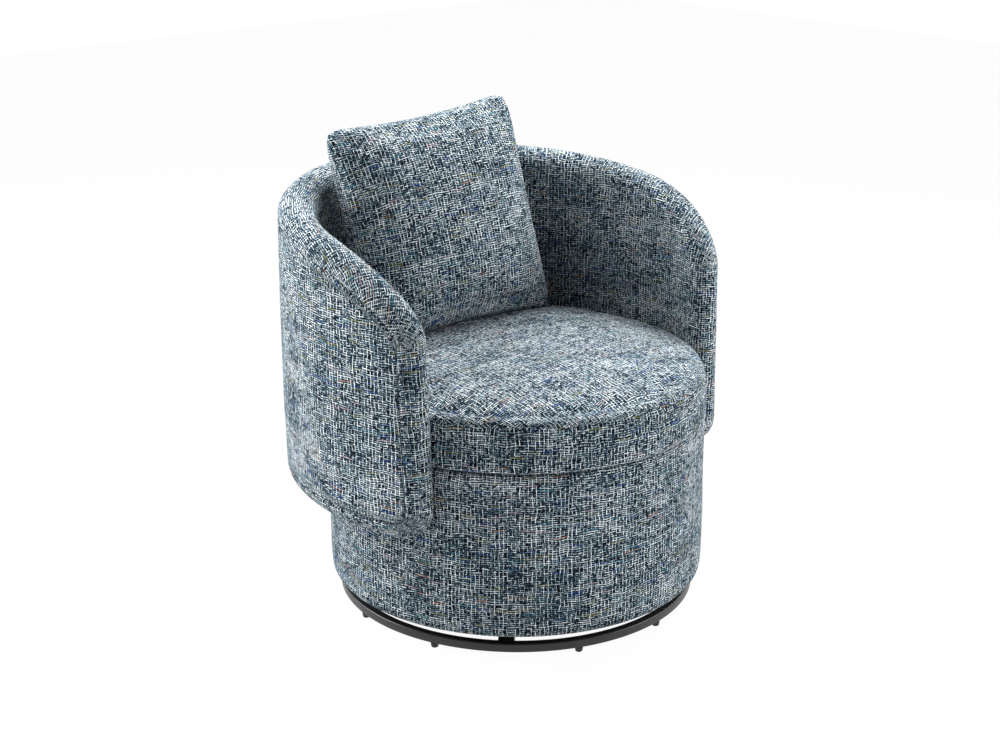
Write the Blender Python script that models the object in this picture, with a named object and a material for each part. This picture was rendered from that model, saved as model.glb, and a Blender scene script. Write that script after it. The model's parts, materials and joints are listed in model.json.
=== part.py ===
"""Swivel armchair: a padded barrel shell on a round upholstered drum, turning on a steel ring base.

Units are metres and +Z is up.  The chair faces -Y.  The origin is on the floor, under the middle
of the whole chair, and the swivel axis stands a little in front of it.
"""

import math

import bmesh
import bpy
from mathutils import Matrix, Vector

# Clearances between pieces that touch
GAP = 0.0003
SLIDE_GAP = 0.0005
DRILL_OVERRUN = 0.010

# Ring base
RING_INSET = 0.0135
TUBE = 0.015
TUBE_CHAMFER = 0.002
RING_BOTTOM = 0.0088
BAR_WIDTH = 0.026
BAR_WALL = 0.0015
GLIDE_OFFSETS = (-54, -23, 23, 54)
GLIDE_FOOT_RADIUS = 0.006
GLIDE_TOP_RADIUS = 0.0073
GLIDE_STEM_RADIUS = 0.003
GLIDE_STEM = 0.009
GLIDE_EDGE = 0.001

# Ball-bearing swivel between the cross bars and the seat board
PLATE_SIDE = 0.170
PLATE_THICK = 0.0025
PLATE_CORNER = 0.014
PLATE_BOLT_CIRCLE = 0.103
BALL_RADIUS = 0.0045
BALL_CIRCLE = 0.058
BALL_COUNT = 12
RACE_WIDTH = 0.016
RACE_STEP = 0.0027
RACE_OPENING = 0.0066
CAGE_THICK = 0.0016
PIN_RADIUS = 0.006
PIN_HEAD_RADIUS = 0.0105
PIN_HEAD = 0.0016
PIN_HEAD_RELIEF = 0.003
HEAD_CHAMFER = 0.001
BOLT_RADIUS = 0.003
BOLT_HEAD_RADIUS = 0.0058
BOLT_HEAD = 0.003

# Drum under the seat
DRUM_RADIUS = 0.320
DRUM_BOTTOM = 0.038
DRUM_TOP = 0.318
DRUM_EDGE = 0.014
DRUM_TOP_EDGE = 0.008
COVER_THICK = 0.006
COVER_HEM = 0.0028
HEM_TOP_WIDTH = 0.017
HEM_BOTTOM_WIDTH = 0.030
WALL_THICK = 0.0042
BOARD_THICK = 0.018
POST_WIDTH = 0.030
POST_DEPTH = 0.030
POST_SETBACK = 0.0012
POST_ANGLES = (0, 50, 100, 180, -100, -50)
DECK_RING_WIDTH = 0.085
DECK_RING_TOP = 0.304
DECK_CLOTH_THICK = 0.006
DUST_COVER_THICK = 0.001
DUST_COVER_INNER = 0.126

# Sinuous seat springs
SPRING_COUNT = 4
SPRING_SIDE_INSET = 0.170
SPRING_END_INSET = 0.070
WIRE_RADIUS = 0.002
WAVE_HALF_WIDTH = 0.024
WAVE_STEP = 0.036
SPRING_END_OVERHANG = 0.004
CLIP_WIDTH = 0.014
CLIP_SHEET = 0.001
CLIP_INNER = 0.0047
CLIP_DEPTH = 0.016

# Wrap-around back and arms
SHELL_HALF_ANGLE = math.radians(115)
SHELL_THICK = 0.064
ARM_THINNING = 0.011
SHELL_REAR_REACH = 0.018
REAR_REACH_POWER = 2.5
RIM_HEIGHT = 0.702
RIM_FALL = 0.079
RIM_FALL_POWER = 2.3
ARM_CORNER_LENGTH = 0.205
ARM_CORNER_HEIGHT = 0.090
SHELL_BOTTOM = 0.207
BOTTOM_CORNER = 0.055
FRONT_SLANT = 0.036
SLANT_PIVOT = 0.42
SLANT_FADE = 0.35
SLANT_FADE_POWER = 1.5
EDGE_ROUND = 0.031
PLY_THICK = 0.018
PLY_CLEARANCE = 0.001
OUTER_PAD = 0.008
SEAM_DIP = 0.0015
SPACER_HALF_ANGLE = math.radians(48)
SPACER_BOTTOM = 0.228
SPACER_TOP = 0.306
SHELL_BOLT_ANGLES = (50, 100, -100, -50)
SHELL_BOLT_HEIGHT = 0.262
SHELL_BOLT_RADIUS = 0.003
SHELL_BOLT_HEAD_RADIUS = 0.007
SHELL_BOLT_HEAD = 0.004
SHELL_BOLT_BITE = 0.012

# Loose seat cushion
CUSHION_INSET = 0.0002
CUSHION_BORDER = 0.0757
CUSHION_CROWN = 0.038
CUSHION_BULGE = 0.004
CUSHION_REAR_SHARE = 0.9
NOSE_HALF_ANGLE = math.radians(56)
CUSHION_LOWER_EDGE = 0.018
CUSHION_CROWN_POWER = 2.5
SEAM_HALF_WIDTH = 0.005
SEAM_INSET = 0.005
CROWN_START_INSET = 0.008
CROWN_START_RISE = 0.009

# Loose throw pillow
PILLOW_SIDE_INSET = 0.1095
PILLOW_HEIGHT = 0.400
PILLOW_THICK = 0.150
PILLOW_SHIFT = 0.006
PILLOW_FOOT_INSET = 0.1755
PILLOW_FOOT_DROP = 0.0209
PILLOW_LEAN = math.radians(18)
PILLOW_PLATEAU = 2.4
PILLOW_PINCH = 0.5
PILLOW_EDGE_DRAW = 0.105
PILLOW_CORNER_ROUND = 0.04

# Mesh resolution
ROUND = 64
RACE_SEGMENTS = 32
FINE = 8
CUSHION_SEGMENTS = 48
PILLOW_STEPS = 14

# Heights that follow from the sizes above
RING_TOP = RING_BOTTOM + TUBE
LOWER_PLATE_Z = RING_TOP + GAP
LOWER_PLATE_TOP = LOWER_PLATE_Z + PLATE_THICK
RACE_LOW = LOWER_PLATE_TOP + RACE_STEP
BALL_Z = RACE_LOW + RACE_OPENING / 2
RACE_HIGH = RACE_LOW + RACE_OPENING
UPPER_PLATE_Z = RACE_HIGH + RACE_STEP
UPPER_PLATE_TOP = UPPER_PLATE_Z + PLATE_THICK
BOARD_Z = UPPER_PLATE_TOP + GAP
BOARD_TOP = BOARD_Z + BOARD_THICK
DECK_RING_Z = DECK_RING_TOP - BOARD_THICK

CUSHION_BOTTOM = DRUM_TOP + GAP
CUSHION_SEAM = CUSHION_BOTTOM + CUSHION_BORDER
CUSHION_TOP = CUSHION_SEAM + CUSHION_CROWN

# Sizes that follow from the drum
HEM_TOP_INNER = DRUM_RADIUS - HEM_TOP_WIDTH
HEM_BOTTOM_INNER = DRUM_RADIUS - HEM_BOTTOM_WIDTH
DECK_RING_INNER = DRUM_RADIUS - DECK_RING_WIDTH
SPRING_END_RADIUS = DRUM_RADIUS - SPRING_END_INSET
RING_RADIUS = DRUM_RADIUS - RING_INSET
SPRING_SPACING = 2 * (DRUM_RADIUS - SPRING_SIDE_INSET) / (SPRING_COUNT - 1)
CUSHION_RADIUS = DRUM_RADIUS - CUSHION_INSET
PILLOW_WIDTH = 2 * (DRUM_RADIUS - PILLOW_SIDE_INSET)
WALL_OUTER = DRUM_RADIUS - COVER_THICK - GAP
WALL_INNER = WALL_OUTER - WALL_THICK
BOARD_RADIUS = WALL_INNER - GAP
POST_FACE = BOARD_RADIUS - POST_SETBACK
SHELL_INNER = DRUM_RADIUS + SLIDE_GAP
SHELL_HALF_LENGTH = SHELL_HALF_ANGLE * (SHELL_INNER + SHELL_THICK / 2)
HALF_THICK = SHELL_THICK / 2
PANEL_FLOOR = HALF_THICK - OUTER_PAD
PLY_FLOOR = PANEL_FLOOR - PLY_THICK - 2 * PLY_CLEARANCE
POCKET_INSET = EDGE_ROUND + PLY_CLEARANCE

# The swivel axis stands in front of the origin, which is under the middle of the whole chair
FRONT_REACH = DRUM_RADIUS + CUSHION_BULGE
REAR_REACH = SHELL_INNER + SHELL_REAR_REACH + SHELL_THICK
AXIS_Y = (FRONT_REACH - REAR_REACH) / 2

MATERIALS = {
    "steel_black": ((0.02, 0.021, 0.023), 0.42, 0.7),
    "plastic_black": ((0.015, 0.015, 0.016), 0.5, 0.0),
    "steel_zinc": ((0.55, 0.56, 0.57), 0.35, 1.0),
    "plywood": ((0.62, 0.47, 0.30), 0.65, 0.0),
    "pine": ((0.70, 0.54, 0.34), 0.7, 0.0),
    "tweed": ((0.30, 0.36, 0.42), 0.9, 0.0),
    "felt": ((0.55, 0.55, 0.53), 0.95, 0.0),
    "dust_cloth": ((0.02, 0.02, 0.02), 0.95, 0.0),
    "spring_steel": ((0.30, 0.30, 0.31), 0.4, 0.9),
}


def material(name):
    """Return the named Principled material, made on its first use."""
    if name in bpy.data.materials:
        return bpy.data.materials[name]
    colour, roughness, metallic = MATERIALS[name]
    made = bpy.data.materials.new(name)
    made.use_nodes = True
    shader = made.node_tree.nodes["Principled BSDF"]
    shader.inputs["Base Color"].default_value = (*colour, 1.0)
    shader.inputs["Roughness"].default_value = roughness
    shader.inputs["Metallic"].default_value = metallic
    return made


def clear_scene():
    for old in list(bpy.data.objects):
        bpy.data.objects.remove(old)


def empty_at(name, location, parent=None):
    """An empty that carries the pieces of one body, with its origin on the body's joint axis."""
    holder = bpy.data.objects.new(name, None)
    holder.location = location
    holder.parent = parent
    bpy.context.scene.collection.objects.link(holder)
    return holder


def add_piece(name, vertices, faces, look, parent, sharp=40):
    """One closed mesh object, its faces turned outwards and shaded smooth up to the sharp angle."""
    mesh = bpy.data.meshes.new(name)
    mesh.from_pydata(vertices, [], faces)
    shell = bmesh.new()
    shell.from_mesh(mesh)
    bmesh.ops.recalc_face_normals(shell, faces=shell.faces)
    shell.to_mesh(mesh)
    shell.free()
    mesh.shade_smooth()
    mesh.set_sharp_from_angle(angle=math.radians(sharp))
    mesh.materials.append(material(look))
    piece = bpy.data.objects.new(name, mesh)
    piece.parent = parent
    bpy.context.scene.collection.objects.link(piece)
    return piece


def as_tool(piece):
    """Mark an object as a cutter or a joining tool, which isn't a part of the chair."""
    piece.hide_render = True
    piece.display_type = "WIRE"
    return piece


def combine(piece, tool, operation):
    step = piece.modifiers.new(tool.name, "BOOLEAN")
    step.operation = operation
    step.solver = "EXACT"
    step.object = as_tool(tool)


def band_faces(loop_count, size, closed):
    """Quads that join each loop of points to the next, and the last to the first where closed."""
    faces = []
    for k in range(loop_count if closed else loop_count - 1):
        here, there = k * size, ((k + 1) % loop_count) * size
        for j in range(size):
            step = (j + 1) % size
            faces.append((here + j, here + step, there + step, there + j))
    return faces


def polar(radius, angle, z):
    """A point at an angle from the rear of the chair, positive towards +X."""
    return (radius * math.sin(angle), radius * math.cos(angle), z)


def turned_ring(name, profile, look, parent, segments=ROUND, centre=(0, 0)):
    """A solid of revolution about a vertical axis from a closed profile of (radius, height)."""
    size = len(profile)
    points = []
    for k in range(segments):
        angle = 2 * math.pi * k / segments
        for radius, z in profile:
            x, y, z = polar(radius, angle, z)
            points.append((x + centre[0], y + centre[1], z))
    return add_piece(name, points, band_faces(segments, size, True), look, parent)


def turned_solid(name, profile, look, parent, segments=ROUND, centre=(0, 0)):
    """A solid of revolution with no bore: an open profile, capped by a disc at each end."""
    points = []
    for radius, z in profile:
        for k in range(segments):
            x, y, z = polar(radius, 2 * math.pi * k / segments, z)
            points.append((x + centre[0], y + centre[1], z))
    faces = band_faces(len(profile), segments, False)
    last = (len(profile) - 1) * segments
    faces.append(tuple(range(segments)))
    faces.append(tuple(range(last, last + segments)))
    return add_piece(name, points, faces, look, parent)


def box(name, size, look, parent, place):
    """A box of the given size, moved to its place by a matrix."""
    corners = [place @ Vector((x * size[0] / 2, y * size[1] / 2, z * size[2] / 2))
               for x in (-1, 1) for y in (-1, 1) for z in (-1, 1)]
    faces = [(0, 1, 3, 2), (4, 6, 7, 5), (0, 4, 5, 1), (2, 3, 7, 6), (0, 2, 6, 4), (1, 5, 7, 3)]
    return add_piece(name, corners, faces, look, parent)


def arc(centre, radius, start, end, steps):
    """Points of a round stretch in a profile, with its angles in degrees."""
    points = []
    for k in range(steps + 1):
        angle = math.radians(start + (end - start) * k / steps)
        points.append((centre[0] + radius * math.cos(angle), centre[1] + radius * math.sin(angle)))
    return points


def spots(radius, count, first):
    """Evenly spaced places on a circle, starting at first degrees from the rear."""
    for k in range(count):
        angle = math.radians(first + 360 * k / count)
        yield radius * math.sin(angle), radius * math.cos(angle)


def pegs(name, places, radius, bottom, top, parent, segments=FINE):
    """Vertical cylinders in one mesh, used to drill holes."""
    points, faces = [], []
    for x, y in places:
        start = len(points)
        for z in (bottom, top):
            for k in range(segments):
                angle = 2 * math.pi * k / segments
                points.append((x + radius * math.sin(angle), y + radius * math.cos(angle), z))
        low = tuple(range(start, start + segments))
        faces += [low[::-1], tuple(k + segments for k in low)]
        for k in range(segments):
            step = (k + 1) % segments
            faces.append((low[k], low[step], low[step] + segments, low[k] + segments))
    return as_tool(add_piece(name, points, faces, "steel_zinc", parent))


# Ring base

def base_ring(parent):
    inner, outer, low, high = RING_RADIUS - TUBE, RING_RADIUS, RING_BOTTOM, RING_TOP
    cut = TUBE_CHAMFER
    profile = [(inner, low), (outer - cut, low), (outer, low + cut), (outer, high - cut),
               (outer - cut, high), (inner, high)]
    ring = turned_ring("base_ring", profile, "steel_black", parent)
    holes = pegs("glide_holes", glide_spots(), GLIDE_STEM_RADIUS + GAP, low - GLIDE_STEM,
                 low + GLIDE_STEM + GAP, parent, segments=8)
    combine(ring, holes, "DIFFERENCE")


def glide_spots():
    """Places of the glides: four about each end of one diagonal, as the photographed half shows."""
    radius = RING_RADIUS - TUBE / 2
    for end in (45, 225):
        for offset in GLIDE_OFFSETS:
            angle = math.radians(end + offset)
            yield radius * math.sin(angle), radius * math.cos(angle)


def glides(parent):
    """Push-in plastic glides: a tapered foot and a stem that sits in the ring."""
    top = RING_BOTTOM - GAP
    for k, (x, y) in enumerate(glide_spots()):
        profile = [(GLIDE_FOOT_RADIUS - GLIDE_EDGE, 0), (GLIDE_FOOT_RADIUS, GLIDE_EDGE),
                   (GLIDE_TOP_RADIUS, top), (GLIDE_STEM_RADIUS, top),
                   (GLIDE_STEM_RADIUS, RING_BOTTOM + GLIDE_STEM - GAP)]
        turned_solid(f"glide_{k + 1}", profile, "plastic_black", parent, 10, (x, y))


def bar(name, start, end, angle, parent):
    """A rectangular tube, open at both ends, that lies along a diagonal of the ring."""
    turn = Matrix.Rotation(angle, 4, "Z")
    points = []
    for wall in (0, BAR_WALL):
        wide, low, high = BAR_WIDTH / 2 - wall, RING_BOTTOM + wall, RING_TOP - wall
        for along in (start, end):
            for across, z in ((-wide, low), (wide, low), (wide, high), (-wide, high)):
                points.append(turn @ Vector((across, along, z)))
    faces = []
    for j in range(4):
        step = (j + 1) % 4
        faces.append((j, step, 4 + step, 4 + j))
        faces.append((8 + j, 12 + j, 12 + step, 8 + step))
        faces.append((j, 8 + j, 8 + step, step))
        faces.append((4 + j, 4 + step, 12 + step, 12 + j))
    return add_piece(name, points, faces, "steel_black", parent)


def cross_bars(parent):
    """One long bar across the ring and two short ones, which make an X with their tops flush."""
    inner = RING_RADIUS - TUBE
    reach = math.sqrt(inner ** 2 - (BAR_WIDTH / 2) ** 2) - 2 * GAP
    side = BAR_WIDTH / 2 + GAP
    bars = [bar("cross_bar_long", -reach, reach, math.radians(45), parent),
            bar("cross_bar_left", side, reach, math.radians(-45), parent),
            bar("cross_bar_right", -reach, -side, math.radians(-45), parent)]
    places = list(spots(PLATE_BOLT_CIRCLE, 4, 45))
    holes = pegs("bar_bolt_holes", places, BOLT_RADIUS + GAP, RING_TOP - 2 * BAR_WALL,
                 RING_TOP + BAR_WALL, parent)
    for piece in bars:
        combine(piece, holes, "DIFFERENCE")
    recess = pegs("bar_pin_hole", [(0, 0)], PIN_HEAD_RADIUS + SLIDE_GAP, RING_TOP - 2 * BAR_WALL,
                  RING_TOP + BAR_WALL, parent, segments=20)
    combine(bars[0], recess, "DIFFERENCE")


# Ball-bearing swivel

def bearing_plate(name, level, face, first_corner, parent):
    """A square plate with a raised ball race on the face that looks along face, up or down.

    The race's groove is an arc round the balls, so they run with the same clearance all round.
    """
    half = PLATE_SIDE / 2
    outline = []
    for k in range(4):
        cx = (half - PLATE_CORNER) * (1, -1, -1, 1)[k]
        cy = (half - PLATE_CORNER) * (1, 1, -1, -1)[k]
        outline += arc((cx, cy), PLATE_CORNER, 90 * k, 90 * k + 90, 3)
    turn = Matrix.Rotation(math.radians(first_corner - 45), 4, "Z")
    points = [turn @ Vector((x, y, z)) for z in (level, level + PLATE_THICK) for x, y in outline]
    size = len(outline)
    faces = band_faces(2, size, False) + [tuple(range(size)), tuple(range(size, 2 * size))]
    plate = add_piece(name, points, faces, "steel_zinc", parent)

    groove = BALL_RADIUS + GAP
    top = BALL_Z - face * RACE_OPENING / 2
    root = level + PLATE_THICK / 2
    reach = math.degrees(math.acos(RACE_OPENING / 2 / groove))
    inner, outer = BALL_CIRCLE - RACE_WIDTH / 2, BALL_CIRCLE + RACE_WIDTH / 2
    valley = arc((BALL_CIRCLE, BALL_Z), groove, -90 - reach, -90 + reach, 4)
    if face < 0:
        valley = [(radius, 2 * BALL_Z - z) for radius, z in valley]
    profile = [(inner, root), (inner, top)] + valley + [(outer, top), (outer, root)]
    race = turned_ring(name + "_race", profile, "steel_zinc", parent, RACE_SEGMENTS)
    combine(plate, race, "UNION")

    places = list(spots(PLATE_BOLT_CIRCLE, 4, first_corner))
    bolt_holes = pegs(name + "_bolt_holes", places, BOLT_RADIUS + GAP, level - PLATE_THICK,
                      level + 2 * PLATE_THICK, parent)
    combine(plate, bolt_holes, "DIFFERENCE")
    pin_hole = pegs(name + "_pin_hole", [(0, 0)], PIN_RADIUS + GAP, level - PLATE_THICK,
                    level + 2 * PLATE_THICK, parent, segments=20)
    combine(plate, pin_hole, "DIFFERENCE")


def ball_cage(parent):
    """The flat retainer ring with its balls, which rolls round at half the speed of the seat."""
    inner, outer = BALL_CIRCLE - RACE_WIDTH / 2, BALL_CIRCLE + RACE_WIDTH / 2
    low, high = BALL_Z - CAGE_THICK / 2, BALL_Z + CAGE_THICK / 2
    profile = [(inner, low), (outer, low), (outer, high), (inner, high)]
    cage = turned_ring("ball_cage", profile, "steel_zinc", parent, RACE_SEGMENTS)
    points, faces = [], []
    around, rows = 8, 5
    for x, y in spots(BALL_CIRCLE, BALL_COUNT, 0):
        start = len(points)
        points.append((x, y, BALL_Z - BALL_RADIUS))
        for row in range(1, rows):
            tilt = math.pi * row / rows
            radius, z = BALL_RADIUS * math.sin(tilt), BALL_Z - BALL_RADIUS * math.cos(tilt)
            for k in range(around):
                angle = 2 * math.pi * k / around
                points.append((x + radius * math.cos(angle), y + radius * math.sin(angle), z))
        points.append((x, y, BALL_Z + BALL_RADIUS))
        last = len(points) - 1
        for k in range(around):
            step = (k + 1) % around
            faces.append((start, start + 1 + step, start + 1 + k))
            faces.append((last, last - around + k, last - around + step))
            for row in range(rows - 2):
                here = start + 1 + row * around
                faces.append((here + k, here + step, here + around + step, here + around + k))
    balls = add_piece("cage_balls", points, faces, "steel_zinc", parent)
    combine(cage, balls, "UNION")


def kingpin(parent):
    """The rivet that holds the two plates together.  Its lower head sits in the long bar."""
    bore_top = UPPER_PLATE_TOP + SLIDE_GAP
    profile = [(PIN_HEAD_RADIUS, LOWER_PLATE_Z - GAP - PIN_HEAD), (PIN_HEAD_RADIUS, LOWER_PLATE_Z - GAP),
               (PIN_RADIUS, LOWER_PLATE_Z - GAP), (PIN_RADIUS, bore_top), (PIN_HEAD_RADIUS, bore_top),
               (PIN_HEAD_RADIUS - HEAD_CHAMFER, bore_top + PIN_HEAD)]
    turned_solid("kingpin", profile, "steel_zinc", parent, 20)


def plate_bolts(parent_low, parent_high):
    """Pan-head bolts: four fix the lower plate to the bars, four fix the upper one to the board."""
    for k, (x, y) in enumerate(spots(PLATE_BOLT_CIRCLE, 4, 45)):
        under = LOWER_PLATE_TOP + GAP
        profile = [(BOLT_RADIUS, RING_TOP - 3 * BAR_WALL), (BOLT_RADIUS, under), (BOLT_HEAD_RADIUS, under),
                   (BOLT_HEAD_RADIUS, under + BOLT_HEAD / 2), (BOLT_RADIUS, under + BOLT_HEAD)]
        turned_solid(f"base_bolt_{k + 1}", profile, "steel_zinc", parent_low, FINE, (x, y))
    for k, (x, y) in enumerate(spots(PLATE_BOLT_CIRCLE, 4, 0)):
        over = UPPER_PLATE_Z - GAP
        profile = [(BOLT_RADIUS, over - BOLT_HEAD), (BOLT_HEAD_RADIUS, over - BOLT_HEAD / 2),
                   (BOLT_HEAD_RADIUS, over), (BOLT_RADIUS, over), (BOLT_RADIUS, BOARD_TOP - 2 * GAP)]
        turned_solid(f"seat_bolt_{k + 1}", profile, "steel_zinc", parent_high, FINE, (x, y))


# Drum

def seat_board(parent):
    """The plywood disc that the swivel is bolted to, drilled for its bolts and the rivet's head."""
    board = turned_solid("seat_board", [(BOARD_RADIUS, BOARD_Z), (BOARD_RADIUS, BOARD_TOP)],
                         "plywood", parent)
    places = list(spots(PLATE_BOLT_CIRCLE, 4, 0))
    bolts = pegs("board_bolt_holes", places, BOLT_RADIUS + GAP, BOARD_Z - DRILL_OVERRUN,
                 BOARD_TOP + DRILL_OVERRUN, parent)
    combine(board, bolts, "DIFFERENCE")
    pin = pegs("board_pin_hole", [(0, 0)], PIN_HEAD_RADIUS + PIN_HEAD_RELIEF,
               BOARD_Z - DRILL_OVERRUN, BOARD_TOP + DRILL_OVERRUN, parent, segments=20)
    combine(board, pin, "DIFFERENCE")


def shell_bolt_cutter(parent):
    """Radial drills for the bolts that hold the shell to the drum."""
    points, faces = [], []
    radius = SHELL_BOLT_RADIUS + GAP
    segments = 8
    for degrees in SHELL_BOLT_ANGLES:
        start = len(points)
        for along in (POST_FACE - POST_DEPTH - DRILL_OVERRUN, SHELL_INNER + SHELL_THICK):
            for k in range(segments):
                turn = 2 * math.pi * k / segments
                side, z = radius * math.cos(turn), SHELL_BOLT_HEIGHT + radius * math.sin(turn)
                angle = math.radians(degrees)
                points.append((along * math.sin(angle) + side * math.cos(angle),
                               along * math.cos(angle) - side * math.sin(angle), z))
        low = tuple(range(start, start + segments))
        faces += [low, tuple(k + segments for k in low)]
        for k in range(segments):
            step = (k + 1) % segments
            faces.append((low[k], low[step], low[step] + segments, low[k] + segments))
    return as_tool(add_piece("shell_bolt_drills", points, faces, "steel_zinc", parent))


def drum_frame(parent, drills):
    """Posts between the seat board and the deck ring, inside a curved plywood wall."""
    low, high = BOARD_TOP + GAP, DECK_RING_Z - GAP
    for k, degrees in enumerate(POST_ANGLES):
        place = Matrix.Rotation(math.radians(-degrees), 4, "Z") @ Matrix.Translation(
            (0, POST_FACE - POST_DEPTH / 2, (low + high) / 2))
        post = box(f"drum_post_{k + 1}", (POST_WIDTH, POST_DEPTH, high - low), "pine", parent, place)
        if degrees in SHELL_BOLT_ANGLES:
            combine(post, drills, "DIFFERENCE")
    profile = [(DECK_RING_INNER, DECK_RING_Z), (BOARD_RADIUS, DECK_RING_Z),
               (BOARD_RADIUS, DECK_RING_TOP), (DECK_RING_INNER, DECK_RING_TOP)]
    turned_ring("deck_ring", profile, "plywood", parent)
    low, high = DRUM_BOTTOM + COVER_HEM + GAP, DRUM_TOP - COVER_HEM + GAP
    profile = [(WALL_INNER, low), (WALL_OUTER, low), (WALL_OUTER, high - 2 * GAP), (WALL_INNER, high - 2 * GAP)]
    wall = turned_ring("drum_wall", profile, "plywood", parent)
    combine(wall, drills, "DIFFERENCE")


def drum_cover(parent, drills):
    """The padded cover: rolled under the board at the bottom and over the wall at the top."""
    outer, inner = DRUM_RADIUS, DRUM_RADIUS - COVER_THICK
    profile = [(HEM_BOTTOM_INNER, DRUM_BOTTOM)]
    profile += arc((outer - DRUM_EDGE, DRUM_BOTTOM + DRUM_EDGE), DRUM_EDGE, -90, 0, 3)
    profile += arc((outer - DRUM_TOP_EDGE, DRUM_TOP - DRUM_TOP_EDGE), DRUM_TOP_EDGE, 0, 90, 2)
    profile += [(HEM_TOP_INNER, DRUM_TOP), (HEM_TOP_INNER, DRUM_TOP - COVER_HEM + GAP),
                (inner, DRUM_TOP - COVER_HEM + GAP), (inner, DRUM_BOTTOM + COVER_HEM),
                (HEM_BOTTOM_INNER, DRUM_BOTTOM + COVER_HEM)]
    cover = turned_ring("drum_cover", profile, "tweed", parent)
    combine(cover, drills, "DIFFERENCE")


def dust_cover(parent):
    top = BOARD_Z - GAP
    low = top - DUST_COVER_THICK
    outer = HEM_BOTTOM_INNER - GAP
    profile = [(DUST_COVER_INNER, low), (outer, low), (outer, top), (DUST_COVER_INNER, top)]
    turned_ring("dust_cover", profile, "dust_cloth", parent)


def deck_cloth(parent):
    """The quilted pad that covers the springs and carries the cushion."""
    top = DRUM_TOP - SLIDE_GAP
    radius = HEM_TOP_INNER - GAP
    turned_solid("deck_pad", [(radius, top - DECK_CLOTH_THICK), (radius, top)], "felt", parent)


# Springs

def spring_path(end):
    """The zigzag of a sinuous spring from front to rear: cross runs joined by half-round turns."""
    runs = 2 * round(end / WAVE_STEP) + 1
    step = 2 * end / (runs - 1)
    flat = WAVE_HALF_WIDTH - step / 2
    held = CLIP_WIDTH / 2 + SPRING_END_OVERHANG
    points = []
    for k in range(runs):
        y = -end + step * k
        side = 1 if k % 2 == 0 else -1
        first = k == 0
        last = k == runs - 1
        points.append((-side * (held if first else flat), y))
        points.append((side * (held if last else flat), y))
        if not last:
            for turn in (60, 120):
                angle = math.radians(turn)
                points.append((side * (flat + step / 2 * math.sin(angle)),
                               y + step / 2 - step / 2 * math.cos(angle)))
    return points


def seat_springs(parent):
    level = DECK_RING_TOP + GAP + CLIP_SHEET + CLIP_INNER / 2
    for k in range(SPRING_COUNT):
        offset = SPRING_SPACING * (k - (SPRING_COUNT - 1) / 2)
        end = math.sqrt(SPRING_END_RADIUS ** 2 - offset ** 2)
        path = spring_path(end)
        curve = bpy.data.curves.new(f"seat_spring_{k + 1}", "CURVE")
        curve.dimensions = "3D"
        curve.bevel_depth = WIRE_RADIUS
        curve.bevel_resolution = 1
        curve.use_fill_caps = True
        wire = curve.splines.new("POLY")
        wire.points.add(len(path) - 1)
        for point, (x, y) in zip(wire.points, path):
            point.co = (x, y, 0, 1)
        curve.materials.append(material("spring_steel"))
        spring = bpy.data.objects.new(f"seat_spring_{k + 1}", curve)
        spring.location = (offset, 0, level)
        spring.parent = parent
        bpy.context.scene.collection.objects.link(spring)
        for name, side in (("front", -1), ("rear", 1)):
            spring_clip(f"clip_{name}_{k + 1}", offset, side * end, side, parent)


def spring_clip(name, x, y, side, parent):
    """A folded steel clip, open towards the middle of the seat, that holds one end of a spring."""
    low = DECK_RING_TOP + GAP
    back = CLIP_INNER / 2 + CLIP_SHEET
    front = back - CLIP_DEPTH
    top = low + 2 * CLIP_SHEET + CLIP_INNER
    profile = [(front, low), (back, low), (back, top), (front / 2, top), (front / 2, top - CLIP_SHEET),
               (back - CLIP_SHEET, top - CLIP_SHEET), (back - CLIP_SHEET, low + CLIP_SHEET),
               (front, low + CLIP_SHEET)]
    size = len(profile)
    points = [(x + across, y + side * along, z)
              for across in (-CLIP_WIDTH / 2, CLIP_WIDTH / 2) for along, z in profile]
    faces = band_faces(2, size, False) + [tuple(range(size)), tuple(range(size, 2 * size))]
    add_piece(name, points, faces, "steel_zinc", parent)


# Wrap-around shell

def rear_reach(angle):
    """How much further than a circle the shell reaches, most at the rear and none at the front."""
    return SHELL_REAR_REACH * ((1 + math.cos(angle)) / 2) ** REAR_REACH_POWER


def shell_radius(angle, offset):
    """Distance from the swivel axis to a layer of the shell, offset outwards from its middle.

    The inner padding thins towards the front of the arms, and the layers outside it keep their own.
    """
    padded = min(1.0, (offset + HALF_THICK) / (PLY_FLOOR + HALF_THICK))
    thinning = ARM_THINNING * padded * (angle / SHELL_HALF_ANGLE) ** 2
    return SHELL_INNER + rear_reach(angle) + HALF_THICK + offset - thinning


def shell_columns():
    """Stations along the shell, from its left front edge round the back to the right one."""
    corner = [ARM_CORNER_LENGTH * (1 - math.cos(math.radians(15 * k))) for k in range(7)]
    middle = 2 * (SHELL_HALF_LENGTH - ARM_CORNER_LENGTH)
    count = 26
    left = [-SHELL_HALF_LENGTH + d for d in corner]
    between = [left[-1] + middle * k / count for k in range(1, count)]
    return left + between + [-s for s in reversed(left)]


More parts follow.
